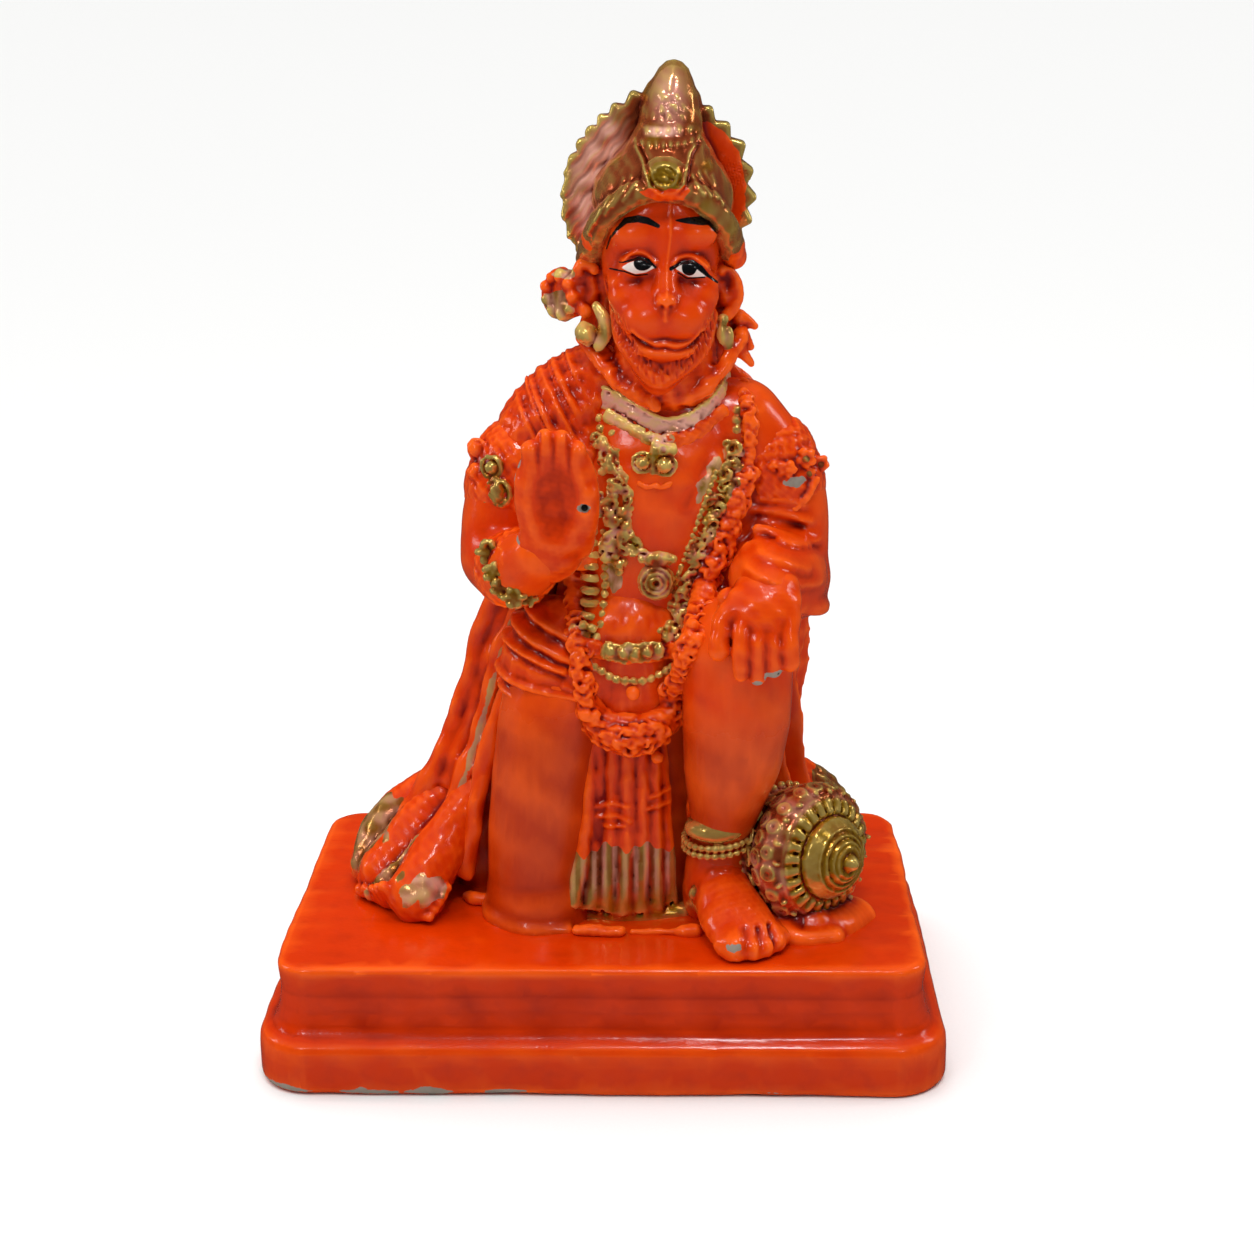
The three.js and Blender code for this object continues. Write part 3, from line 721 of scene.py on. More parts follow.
paint_skin = painted_plaster("gloss_enamel_on_cast_plaster", "#D02E00", "#E44200")
plinth_skin = painted_plaster("thin_enamel_on_cast_plinth", "#CA2E00", "#DA3A00")

# %% [markdown]
# ## The plinth
# The plinth has a lower step with a rounded edge, a wall that hollows in and a flat deck. It is the
# same idea as turning on a lathe, but round a rounded rectangle instead of a circle. A little waviness
# keeps its faces from looking machined: it came out of a worn mould.

# %% Sculpt the plinth
DECK_WIDTH, DECK_DEPTH, CORNER_RADIUS = 166, 100, 9
MOULDING = [  # reach past the deck's edge, height above the floor
    (-60, 0), (4.2, 0), (4.9, 0.5), (5.4, 1.5), (5.5, 9), (5.3, 11.8), (4.4, 13.6), (2.9, 14.5),
    (1.6, 15.2),
    (0.5, 17), (-0.4, 20.5), (-0.9, 25), (-0.4, 30), (-0.3, 31.6), (-0.9, 32.6), (-2, 33), (-60, 33),
]


def plinth_form():
    half = np.array([DECK_WIDTH, DECK_DEPTH]) / 2
    reach = np.array([half[0] + 6, half[1] + 6, 0])

    def distance(x, y, z):
        a, b = np.abs(x) - half[0] + CORNER_RADIUS, np.abs(y) - half[1] + CORNER_RADIUS
        past = np.sqrt(np.maximum(a, 0) ** 2 + np.maximum(b, 0) ** 2) + np.minimum(np.maximum(a, b), 0)
        r, t = np.broadcast_arrays(past - CORNER_RADIUS, z + DECK)
        return section(MOULDING, r, t)

    return [(-reach - (0, 0, DECK), reach, distance)]


plinth = Clay((-91, -59, -DECK - 2), (91, 59, 2), 0.8)
plinth.add(plinth_form(), soft=0.5)
plinth.emboss(
    (-91, -59, 1.2 - DECK), (91, 59, 2),
    lambda x, y, z: 0.22 * ripple(x, y, z, 44, 3) + 0.1 * ripple(x, y, z, 13, 4) - 0.15,
)


def plinth_paint(points, normals):
    """Chips along the lower edge and a scratch on the front."""
    x, y, z = points.T
    low_edge = 1.1 - np.abs(z + DECK - 1.4) + 0.8 * ripple(x, y, z, 9, 21) - 0.9
    left = np.clip((-x - 30) / 40, -1.2, 0.35)
    specks = np.max([spot(points, at, r) for at, r in (
        ((52.4, -56.5, -22), 0.9), ((-85.6, -52, -20), 0.8), ((-60, -56, -30.5), 1.2),
        ((-84, -53.5, -30), 1.3),
    )], axis=0)
    return {"chip": np.maximum(low_edge + left, specks)}


sculpted("plinth", plinth, plinth_skin, plinth_paint, most=42_000)

# %% [markdown]
# ## Body and limbs
# The torso, the kneeling leg, the raised leg and the arms are limbs through a few stations each. They
# have the same places and sizes as in the CAD model, and meet in soft fillets.

# %% Body, legs and arms
TORSO = [
    (8, 4, 36, 21, 17), (8.5, 3, 56, 21.5, 17.5), (10.5, 2, 76, 18.5, 15.5), (13, 2, 96, 20.5, 16.5),
    (15, 3, 114, 24, 17), (16, 5, 126, 23, 14.5), (16.5, 5, 136, 15, 12), (16.5, 3, 147, 12, 11),
]
KNEELING_LEG = [
    (-17, -12, -3, 12.5, 14.5), (-17.5, -12.5, 8, 13, 15), (-16.5, -12, 24, 13.3, 14.2),
    (-14.5, -10, 42, 13.6, 14), (-10, -5, 60, 14.5, 15), (-3, 0, 71, 13, 14),
]
SHIN = [
    (35, -20.5, 75, 14), (35, -21, 60, 13.8), (34, -20.5, 46, 12.6), (32, -19.5, 32, 9.4),
    (30.5, -19, 22, 7.4), (30.5, -18, 10, 7.6),
]
LEFT_ARM = [(-11.4, 5, 128, 12), (-17.4, 4.2, 120, 11.4), (-22.4, 3.2, 111.6, 11.4), (-25, 1, 101, 11),
            (-25, -0.5, 94, 10.8)]
LEFT_FOREARM = [(-25, -1, 94, 10.6), (-22, -9.6, 92.6, 9.8), (-19.4, -15, 94.6, 9),
                (-14.5, -21.5, 100, 7.2)]
RIGHT_ARM = [(36, 5, 127, 11.5), (41.6, 5, 119.6, 11.4), (46, 4.2, 111.6, 11.4), (48, 1.5, 100, 11),
             (48.4, 0, 90, 10.4)]
SLEEVE = [(48.6, -1, 87, 10.8), (45.5, -10, 91, 11.4), (42, -20, 92.4, 9.2), (42, -25, 92, 7.4)]

body = Clay((-42, -38, -4), (64, 26, 152), 0.6)
for form, soft in (
    (limb(TORSO, steps=3), 3),
    (limb([(8, 8, -3, 25, 24), (9, 5, 50, 22, 18)]), 3),  # the seat
    (limb([(33, 4, 108, 12), (32, -1, 84, 12.6), (29, -3, 66, 13)]), 4),  # the flank
    (limb([(22, 6, 60, 14), (34, -16, 71, 13)]), 4),  # the raised thigh
    (limb(SHIN), 3),
    (limb(KNEELING_LEG), 2),
    (limb([(-17, -13, -3, 15, 17), (-17, -13, 2.6, 14.4, 16.4)], steps=1), 0.8),  # a lip of plaster
    (limb(LEFT_ARM), 3),
    (limb(LEFT_FOREARM), 2.5),
    (limb(RIGHT_ARM), 3),
    (limb(SLEEVE), 2),
):
    body.add(form, soft)
# creases: where the sleeve meets the upper arm, and its folds down to the cuff
body.cut(limb([(37, -10, 106, 1), (44, -10.4, 105.4, 1.2), (51, -7.4, 103, 0.8)]), soft=1.6)
for start, middle, end, size in (
    ((40, -13, 104), (47, -12, 100.6), (53, -5, 96), 1.5),
    ((38, -17, 100), (46, -17, 96.4), (55, -8, 93), 1.9),
    ((35, -17, 93), (42, -24, 89.6), (50, -18, 85.4), 1.7),
    ((50, -18, 85.4), (56, -9, 82), (58, 0, 80), 1.8),
):
    body.add(limb([(*start, size), (*middle, size * 1.2), (*end, size)]), soft=1.8)
SLEEVE_FOLDS = [  # finer ones between them
    [(39, 107.4, 0.7), (46, 106.6, 0.8), (54, 104, 0.7)],
    [(40, 101.4, 0.8), (46.7, 99, 0.9), (53, 95, 0.8)],
    [(37, 98, 0.7), (44, 95.4, 0.9), (49.6, 92.6, 0.8), (56, 90, 0.7)],
    [(42, 104.4, 0.6), (49, 101.6, 0.8), (56, 99, 0.6)],
    [(38, 95, 0.6), (43, 93, 0.8), (48, 89.4, 0.7)], [(52, 108.4, 0.6), (47, 110, 0.7), (41, 110, 0.6)],
]
body.emboss(
    (-42, -38, -4), (64, 26, 150),
    lambda x, y, z: np.where(y < 4,
                             sum(ridge(x, z, line, 0.8)
                                 - ridge(x, z + 1.4, line, 0.4) for line in SLEEVE_FOLDS), 0)
    + 0.2 * ripple(x, y, z, 18, 11) + 0.03 * ripple(x, y, z, 6, 12)
)
FEATHER = [(30.4, 121.4, 1.1), (27.6, 116, 1.9), (24.8, 110, 0.9)]
body.emboss(
    (20, -20, 104), (36, -4, 126),
    lambda x, y, z: ridge(x, z, FEATHER, 0.6) - ridge(x + 1.6, z, FEATHER, 0.4),
)
body.add(limb([(-31, -12, 0.6, 2), (-28.4, -22, 0.8, 2.4), (-19, -29, 0.4, 2.2), (-9, -28, 0, 1.8)]),
         soft=1.6)


def body_paint(points, normals):
    """Bronze left on the chest by worn-off jewellery, and grey plaster on the shoulder."""
    x, y, z = points.T
    rub = 2.4 - np.hypot(x - 3.6, (z - 91) / 1.5)
    gold = np.maximum(-from_line(x, z, FEATHER) + 0.2, rub) + 1.1 * ripple(x, y, z, 4, 13) - 0.4
    bare = 2.1 - np.linalg.norm(points - (47.8, -6, 122.6), axis=1) / (1 + 0.3 * ripple(x, y, z, 3, 14))
    return {
        "gold": np.where(y < -9, gold, -3), "rose": 0.2 + 0.3 * ripple(x, y, z, 4, 15), "chip": bare,
        # matt darkens and dulls the enamel below about 64 mm, more towards the deck
        "silver": 0.35 + 0.35 * ripple(x, y, z, 3, 16), "matt": np.clip((64 - z) / 14, 0, 1),
    }


sculpted("body", body, paint_skin, body_paint, most=72_000, smooth=4)

# %% [markdown]
# ## The shawl
# The shawl falls from the shoulders to the deck. On a casting it is not a sheet but a solid mass with
# folds on it, so it is one form here: at each height a rounded box, and folds that run round it as
# ridges. The folds are wider and deeper towards the deck.

# %% Sculpt the shawl
SHAWL = np.array([  # height, left, right, front, back, depth of the folds
    (-4, -53, 61, -7, 40, 2.6), (6, -52.4, 60.6, -6, 38.5, 2.6), (18, -48, 57.6, -4.4, 35, 2.4),
    (30, -43.6, 55, -3, 32, 2.2), (38, -40, 53.6, -1.6, 29.8, 2), (62, -34.2, 53.6, 1, 26.5, 1.7),
    (82, -27, 56, 2, 25.5, 1.5), (106, -22.6, 52.6, 2, 24, 1.2), (130, -15.4, 44.6, 4, 20.4, 0.9),
    (142, -4, 34, 5, 15.5, 0.4), (150, 2, 28, 6, 12, 0.2),
])
LONG_FOLDS = [  # at the left edge, from the arm to the deck
    [(-24, 9, 92, 3), (-28, 9, 79.6, 3), (-32.6, 9, 69, 2.8), (-35.6, 8, 58, 3), (-39.6, 7, 44.7, 3.2),
     (-45.6, 6, 31, 3.6), (-52, 6, 18, 5)],
    [(-19, 3, 92, 2.4), (-21.6, 2.4, 79, 2.4), (-26, 2, 69, 2.4), (-30, 1, 55, 2.4), (-33.4, 0, 44, 2.6),
     (-37.8, -1.4, 31, 3), (-42, -3, 17, 3.4)],
    [(-16, -2, 84, 2), (-20.6, -3, 70, 2.2), (-25.4, -4, 56, 2.2), (-29.4, -5, 46, 2.3), (-32, -6, 34, 2.6),
     (-35, -8, 20, 2.8), (-37, -9, 8, 3)],
    [(-23, 9, 82, 3), (-29, 8, 66, 3), (-35, 6, 47, 3.4), (-41, 4, 30, 4)],
]


def shawl_form():
    def distance(x, y, z):
        left, right, front, back, fold = (
            np.interp(z, SHAWL[:, 0], SHAWL[:, i]).astype(np.float32) for i in range(1, 6)
        )
        half, deep = (right - left) / 2, (back - front) / 2
        u, v = (x - (left + right) / 2) / half, (y - (front + back) / 2) / deep
        size = (np.abs(u) ** 2.7 + np.abs(v) ** 2.7) ** (1 / 2.7)
        turn = np.arctan2(v, u)
        wave = 7 * turn + 0.9 * np.sin(3 * turn + z / 41) + 0.3 * np.sin(z / 19)
        folds = np.abs(np.sin(wave)) ** 0.9 + 0.25 * np.sin(2.3 * wave + z / 33)
        return (size - 1) * np.minimum(half, deep) * 0.9 + fold * (0.9 - folds)

    return [(np.array([-58, -13, -4]), np.array([66, 44, 148]), distance)]


shawl = Clay((-62, -16, -4), (68, 46, 154), 0.7)
shawl.add(shawl_form(), soft=0.5)
for stations in LONG_FOLDS:
    shawl.add(limb(stations), soft=1.4)
shawl.emboss(
    *shawl.box,
    lambda x, y, z: 0.3 * ripple(x, y, z, 18, 31) + 0.1 * ripple(x, y, z, 6, 32)
    # crumpled at the left edge
    + np.clip(-x / 12 - 1.2, 0, 1) * 0.4 * ripple(x, y, z, 7, 34, (0.7, 1, 1.6)),
)


def shawl_paint(points, normals):
    """A stripe of grey bronze along the second long fold."""
    x, y, z = points.T
    stripe = -from_line(x, z, [(a, c, 0.8) for a, _, c, _ in LONG_FOLDS[1]])
    stripe = np.minimum(stripe, 5 - np.abs(y + 1)) + 0.5 * ripple(x, y, z, 6, 33)
    return {"gold": np.minimum(stripe, (88 - z) / 3), "rose": 0.7, "silver": 0.45}


sculpted("shawl", shawl, paint_skin, shawl_paint, most=72_000, smooth=2)

# %% [markdown]
# ## The sash over the shoulder
# The shawl's upper end is laid over the figure's right shoulder in pleats. Each pleat runs from the
# neck's side down behind the raised hand, so its relief depends on one slanting distance only.

# %% Sculpt the shoulder sash
sash = Clay((-34, -22, 92), (12, 22, 154), 0.4)
sash.add(limb([(6, 5, 142, 8.6), (-2, 5.4, 137.6, 10), (-9.4, 5.4, 131, 11.8), (-14.6, 5, 124.6, 11.8)]),
         soft=2)
sash.add(limb([(-9, -3, 131, 9.4, 5), (-6.4, -5.4, 120, 8.4, 5), (-4.8, -6.4, 108, 7, 5),
               (-4, -7, 96, 6, 5)]), soft=3)
PLEAT_GAP = 3.1  # mm between the ridges


def sash_relief(x, y, z):
    slant = x + 0.5 * (z - 134) + 0.6 * np.sin(z / 5 + x / 4) + 22
    uneven = slant + 1.1 * np.sin(slant * 0.8 + 1) + 0.5 * np.sin(slant * 2.1 + z / 7)
    pleat = np.abs(np.sin(uneven * math.pi / PLEAT_GAP)) ** 0.8 * (0.7 + 0.4 * np.sin(slant * 1.3 + y / 6))
    broad = np.clip((x + 7) / 4, 0, 1)  # the folds nearest the neck are broad and smooth
    ends = np.clip((slant - 1) / 1.5, 0, 1)
    pleats = ends * (1 - broad) * (0.85 * pleat - 0.4)
    return pleats + 0.22 * ripple(x, y, z, 6, 37) + 0.1 * ripple(x, y, z, 2.4, 38)


sash.emboss(*sash.box, sash_relief)
sculpted("shoulder_sash", sash, paint_skin, most=44_000)

# %% [markdown]
# ## The rolled ends of the shawl
# On the deck the shawl ends in rolls of cloth. The ones on the left show a gold lace border, so they
# are a finer block of clay, with the lace as relief.

# %% Sculpt the rolled ends
ENDS_AT_LEFT = [
    [(-41, 14, 27, 5), (-52, 13, 20, 6.2), (-60, 9, 12, 7.4), (-64, 2, 4, 6)],
    [(-42, 7, 27, 4.4), (-51, 1, 16, 7), (-59.4, -5, 5, 8)],
    [(-35, -1, 29, 4.4), (-42, -7, 17, 6.4), (-49.6, -17, 5, 8)],
]
ends = Clay((-76, -30, -3), (-28, 30, 36), 0.45)
for stations in ENDS_AT_LEFT:
    ends.add(limb(stations), soft=2.5)
ends.cut(limb([(-70, -8, 10, 3), (-68, -12, 3, 4)]), soft=3)
for i in range(5):  # edges of the folded cloth, one above the other
    ends.add(limb([(-66 + 2 * i, -9 - 2.4 * i, 2.4 + 1.4 * i, 1.2),
                   (-56 + 1.6 * i, -17 - 1.2 * i, 1.6 + 0.6 * i, 1.5),
                   (-45 + i, -25 + 1.6 * i, 2 + 1.4 * i, 1.1)]), soft=1)
ends.add(limb([(-37, -9, 0.6, 1.6), (-34, -12, 1.2, 1.8), (-31.4, -12.6, 1.2, 1.9)]), soft=1)
border = limb([(-42.5, -8.5, 20.5, 2.2, 1), (-50, -10.5, 13.5, 3, 1.2), (-57.5, -12.6, 7, 3, 1.2),
               (-63, -13, 2.4, 1.6, 1)])
ends.add(border, soft=0.6, gold=True)
ends.emboss(*ends.box, lambda x, y, z: 0.35 * ripple(x, y, z, 10, 41) + 0.08 * ripple(x, y, z, 3, 42))


def ends_paint(points, normals):
    x, y, z = points.T
    top = spot(points, (-62, 5, 14), 4.6, (1.7, 2.4, 2.2))
    lace = spot(points, (-48, -20, 8), 3.2, (2.2, 2, 1.3))
    tip = spot(points, (-67, 0, 8), 2.5, (1.6, 2.4, 3))
    gold = np.max([top, lace, tip], axis=0) + 0.9 * ripple(x, y, z, 5, 43)
    shine = 0.4 * np.clip(ripple(x, y, z, 6, 47) + 0.4, 0, 1) + 0.3 * (lace > 0)
    return {"gold": gold, "rose": 0.25 + 0.2 * (lace > 0), "silver": shine}


sculpted("shawl_ends_left", ends, paint_skin, ends_paint, most=42_000)

ends = Clay((40, 8, -3), (74, 48, 32), 0.5)
ends.add(limb([(50, 24, 24, 4), (56, 30, 18, 5.6), (61, 35, 11, 6.2), (62.6, 37, 4, 6.6)]), soft=2)
ends.add(limb([(46, 20, 30, 3), (52, 26, 22, 4.5), (60, 30, 14, 4)]), soft=2)
ends.emboss(*ends.box, lambda x, y, z: 0.3 * ripple(x, y, z, 8, 44) + 0.2 * ripple(x, y, z, 3, 45))


def right_ends_paint(points, normals):
    gold = spot(points, (62, 33, 17), 6, (1.5, 2, 1.6))
    return {"gold": gold + 0.8 * ripple(*points.T, 5, 46), "rose": 0.35}


sculpted("shawl_end_right", ends, paint_skin, right_ends_paint, most=12_000)

# %% [markdown]
# ## The waist cloth
# The cloth is wound round the hips in swags, and hangs between the legs in pleats with a gold hem. A
# pleat on a casting is a raised limb that widens towards the hem, and is hollowed at its lower end.

# %% Sculpt the waist cloth
waist = Clay((-32, -34, -4), (32, 12, 90), 0.42)
waist.add(limb([(7.5, -6, 76, 15, 12.6), (7.5, -7.5, 62, 13.5, 11.6), (7.5, -8, 50, 11, 10.4)]), soft=1.5)
waist.add(limb([(7.5, -8, 48, 9, 8.8), (7.5, -8, 24, 11, 9.2), (7, -8, 7, 13.4, 9.8)]), soft=1)
PLEATS = [  # top, middle and hem of each pleat: x, y, height, half width
    [(-2.4, -16, 50, 1.3), (-4.2, -20.4, 24, 1.8), (-8, -24, 5.4, 2.4)],
    [(0, -16, 50, 1.4), (-1, -19, 24, 1.8), (-3.6, -22.2, 4, 2.4)],
    [(3.4, -17, 50, 1.6), (2.6, -19.8, 24, 2.1), (0.8, -21.8, 3, 2.5)],
    [(7, -17.4, 50, 1.7), (6.6, -20.2, 24, 2.3), (5.2, -21.8, 2.6, 2.5)],
    [(10.6, -17, 50, 1.6), (10.6, -19.8, 24, 2.1), (9.8, -21.2, 2.6, 2.5)],
    [(13.6, -16, 50, 1.4), (14, -18.8, 24, 1.9), (14, -20, 3, 2.3)],
    [(16, -14.4, 48, 1.2), (17, -16.8, 24, 1.7), (17.8, -18.2, 4, 2.1)],
]
for stations in PLEATS:
    waist.add(limb([(x, y + 1.1, z, size) for x, y, z, size in stations]), soft=1.6)
    x, y, z, size = stations[-1]
    waist.cut(limb([(x, y + 0.2, z, size * 0.3), (x, y, z - 3, size * 0.55)]), soft=0.8)
waist.cut(limb([(-5, -20.6, 43, 1.3), (7, -22, 41.6, 1.6), (18, -19.6, 43, 1.3)]),
          soft=2.4)  # under the garland
waist.add(limb([(-13, -15, 1, 2.6), (-5, -18, 0, 2.6), (8, -19.6, -0.4, 2.6), (21, -17, 0, 2.6)]), soft=1)
waist.add(limb([(-13.6, -2, 68, 16, 11.6), (-12.6, -6, 67, 16.4, 12.8), (-4, -8, 65, 15.6, 11.8)],
               wide=(0.24, 0, 1)), soft=2)
SWAGS = [  # the folds over the left hip: their ridges in the plane of the picture
    [(-24, 84, 1.2), (-17.6, 81.4, 1.3), (-5.9, 75.7, 1.1)],
    [(-27, 80, 1.1), (-21, 77.4, 1.2), (-6, 70.6, 1.1)],
    [(-27, 74.6, 0.8), (-20, 72.4, 0.8), (-9, 68.4, 0.6)],
    [(-28, 65.4, 1.4), (-23.9, 64.4, 1.4), (-12, 62, 1.3), (-4.9, 60.9, 1)],
    [(-28, 60.6, 1.2), (-24.5, 59.6, 1.2), (-13, 56.4, 1.4), (-5, 55, 1.2)],
]
for stations in ([(-6.4, -29.4, 0.8, 1.9, 1.4), (5, -30.2, 0.8, 1.9, 1.4)],
                 [(8, -29.6, 0.3, 0.9), (18, -30, 0.6, 1), (21, -30.2, 0.8, 1.8), (24, -30, 0.9, 2)]):
    waist.add(limb(stations, wide=(0, 1, 0)), soft=0.6)  # drips of paint on the deck
CRUMPLES = [  # small ridges across the pleats and at the end of the swags
    [(-1, 31, 0.5), (3, 32.4, 0.5), (6.8, 31.4, 0.5)], [(-0.6, 28.4, 0.5), (4, 29, 0.5), (7.4, 27.6, 0.5)],
    [(1, 26, 0.45), (6, 26.4, 0.45)], [(13, 33.6, 0.5), (18, 34.8, 0.5)],
    [(12.4, 30.6, 0.5), (17.6, 31.2, 0.5)],
    [(-12, 57, 0.6), (-7, 58.4, 0.6), (-3.6, 57, 0.6)], [(-11, 54.6, 0.6), (-7.6, 55.4, 0.6)],
    [(-9, 64.4, 0.6), (-5, 63, 0.6)],
]
waist.emboss(
    *waist.box,
    lambda x, y, z: sum(ridge(x, z, line, 0.5) for line in CRUMPLES) * (y < -8)
    + (x < 1) * sum(ridge(x, z, line, 1.5) - ridge(x, z + 1.9, line, 0.6) for line in SWAGS)
    + 0.16 * ripple(x, y, z, 8, 51) + 0.07 * ripple(x, y, z, 2.5, 52)
)


def waist_paint(points, normals):
    """The gold hem: grey bronze above, brighter at its lower edge, with a wavy border."""
    x, y, z = points.T
    edge = 20.6 + 1.1 * np.sin(0.62 * x + 0.6) + 0.6 * np.sin(1.7 * x) - 0.012 * (x - 7) ** 2
    hem = np.minimum(edge - z, 16.6 - np.abs(x - 6.8))
    stripes = np.sin(1.5 * x + 2)  # each pleat took its own shade
    low = np.clip((z - 3) / 9, 0, 1) + 0.5 * stripes
    pale = 0.5 * np.clip(0.4 + np.sin(2.3 * x), 0, 1) * np.clip((z - 5) / 5, 0, 1)
    return {"gold": np.where((y < -13) & (y > -27.6), hem, -3).clip(-3, 3), "rose": low * 0.45,
            "silver": pale}


sculpted("waist_cloth", waist, paint_skin, waist_paint, most=75_000, smooth=1)

# %% [markdown]
# ## Hands
# A hand is a flat palm with fingers that are thin limbs. The raised palm is dished, with its finger tips
# as scallops along the top. The other hand lies over the knee, its fingers hanging side by side.

# %% Sculpt the hands
palm = Clay((-26, -38, 90), (8, -14, 138), 0.36)
palm.add(limb([(-17.5, -18, 97, 8, 7), (-12.5, -21.5, 100, 8.6, 6.4), (-10, -24.4, 106, 8.4, 5.4)]), soft=1)
palm.add(ball((-9.2, -26, 116.4), (10.4, 5.4, 15.6)), soft=1.6)
for x, z, size in ((-15, 128, 2.4), (-11.5, 130.8, 2.3), (-7.5, 130.4, 2.3), (-4, 127.8, 2.3)):
    palm.add(limb([(x * 0.8 - 1.8, -26.4, 116, 2.6), (x, -27.8, z, size)]), soft=1.2)
palm.add(limb([(-3.6, -23, 103, 3.2), (-2, -26.4, 110, 2.6), (-1.8, -28, 117, 2.2)]), soft=1.8)
palm.cut(ball((-9.4, -36.2, 115.4), (8.8, 8.6, 16.4)), soft=1.6)
for x, z in ((-13.2, 131), (-9.5, 132.6), (-5.7, 131)):
    palm.cut(limb([(x * 0.9 - 1, -29.6, z - 9, 0.3), (x, -30, z - 2, 0.6), (x, -29, z + 1, 0.8)]), soft=0.8)
palm.cut(ball((-2.3, -29.6, 113.8), 1.1), soft=0.5)
palm.emboss(*palm.box, lambda x, y, z: 0.1 * ripple(x, y, z, 6, 61) + 0.03 * ripple(x, y, z, 2, 62))


def palm_paint(points, normals):
    spots = [((-19.2, -27, 124.5), 1.6), ((-19.6, -25.5, 121), 1.4), ((-18.4, -24.6, 104), 1.7),
             ((-16.4, -24.6, 101.6), 1.6),
             ((-13.4, -26.4, 101), 1.1), ((-2.3, -28.4, 113.8), 1.75), ((-2.6, -27.6, 109.6), 0.8)]
    chip = np.max([spot(points, at, r) for at, r in spots], axis=0)
    hole = spot(points, (-2.3, -28, 113.8), 1.25)
    return {"chip": chip + 0.25 * ripple(*points.T, 2, 63), "black": hole}


sculpted("raised_palm", palm, paint_skin, palm_paint, most=30_000)

hand = Clay((25, -44, 64), (54, -14, 102), 0.36)
hand.add(limb([(42, -22, 92.4, 7.6, 6.2), (42, -27, 91.6, 8.4, 5.8), (41.6, -31.6, 88, 8.6, 5),
               (41.2, -33.6, 83.6, 8.2, 3.6)]), soft=1.5)
for i, (reach, bend) in enumerate(((72, 0.2), (71, 0), (73, -0.2), (76, -0.4))):
    x = 35.8 + 3.75 * i
    hand.add(limb([(x + 0.2, -32.6, 88, 2.1), (x, -35.8, 82, 2.5), (x - bend, -36.4, 77, 2.4),
                   (x - bend, -36.2, reach + 1.8, 2)]), soft=1.1)
hand.add(limb([(35.4, -30, 90, 3.6), (31.6, -32, 86.4, 3), (30.4, -33.8, 82.6, 2.5),
               (30.2, -34.6, 79.4, 2.8)]), soft=1.4)
hand.add(ball((32.6, -24.6, 89.3), 2.8), soft=0.6)
hand.emboss(*hand.box, lambda x, y, z: 0.1 * ripple(x, y, z, 4, 64))


def hand_paint(points, normals):
    spots = [((39.5, -38, 70.6), 1.9), ((43.2, -38, 72.8), 2.3), ((44.6, -37, 74), 1.6)]
    chip = np.max([spot(points, at, r) for at, r in spots], axis=0)
    return {"chip": chip + 0.3 * ripple(*points.T, 2, 65), "black": spot(points, (45, -38.4, 74), 0.9)}


sculpted("resting_hand", hand, paint_skin, hand_paint, most=26_000)

# %% [markdown]
# ## The foot
# The foot points forward and a little to the right. Its toes barely part, as in a worn mould, and the
# ankle has a patch and strings of small beads.

# %% Sculpt the foot and anklet
foot = Clay((16, -53, -3), (54, -4, 36), 0.4)
foot.add(limb([(30.6, -17, 30, 8.6), (30.4, -18, 22, 7.6), (29.6, -18, 12, 8), (29, -16, 4, 8)]), soft=1)
foot.add(limb([(29, -12, 5, 7.2, 7), (31, -22, 8, 8, 8), (34.4, -32, 6, 9, 6.4),
               (37.4, -39.6, 3.8, 9.2, 4.6)]), soft=2.5)
for x, y, z, size in ((34.4, -43.6, 3.4, 3.8), (39, -43.8, 3, 2.9), (42.2, -42.2, 2.8, 2.7),
                      (44.8, -39.6, 2.7, 2.6), (46.2, -36.6, 2.6, 2.4)):
    foot.add(limb([(x * 0.72 + 9, y + 9, z + 1, size * 0.9), (x, y, z, size)]), soft=1.6)
for groove in (  # between the toes
    [(37.3, -48.4, 2, 0.3), (37, -45.8, 6.4, 0.3), (36.8, -42.6, 8, 0.3)],
    [(41.2, -47.4, 1.6, 0.3), (40.7, -44, 5.6, 0.3), (40, -41, 7, 0.3)],
    [(44.8, -43.8, 1.6, 0.3), (43.7, -41.2, 5.2, 0.3), (42.6, -38.6, 6.6, 0.3)],
):
    foot.cut(limb(groove), soft=2.2)
foot.add(limb([(38, -20, 8, 1.6), (40.6, -28, 5.4, 1.5), (43, -33, 3.6, 1.6)]), soft=1.6)
foot.add(ball((29.6, -22.8, 27), (8, 6, 3.8)), soft=1, gold=True)
for ring, (height, size) in enumerate(((23, 1), (20.8, 0.95))):
    for turn in turns(30 - 2 * ring, 0.5 * ring):
        at = (30.4 + 8.9 * math.cos(turn), -18.6 + 8.9 * math.sin(turn), height + 0.8 * math.cos(turn))
        foot.add(ball(at, size), soft=0.5, gold=True)
foot.add(ball((24.4, -26, 9.4), (1.8, 1.8, 2.2)), soft=0.6, gold=True)
foot.emboss(
    (16, -53, -3), (54, -4, 34),
    lambda x, y, z: 0.1 * ripple(x, y, z, 7, 71) + 0.03 * ripple(x, y, z, 2, 72),
)


def foot_paint(points, normals):
    nail = spot(points, (33.6, -47, 4.8), 1.3, (1.5, 1, 0.8)) + 0.4 * ripple(*points.T, 2, 73)
    return {"chip": nail, "rose": 0.3}


sculpted("foot", foot, paint_skin, foot_paint, most=40_000)

# %% [markdown]
# ## The face
# The face is broad and flat, with heavy brows and a muzzle like a monkey's. Lids, lips and the seam of
# the mould are fine ridges, so they are drawn as lines in the plane of the picture and pressed onto the
# front. Eyes and brows are only paint: here each point stores how far it is inside a painted shape.

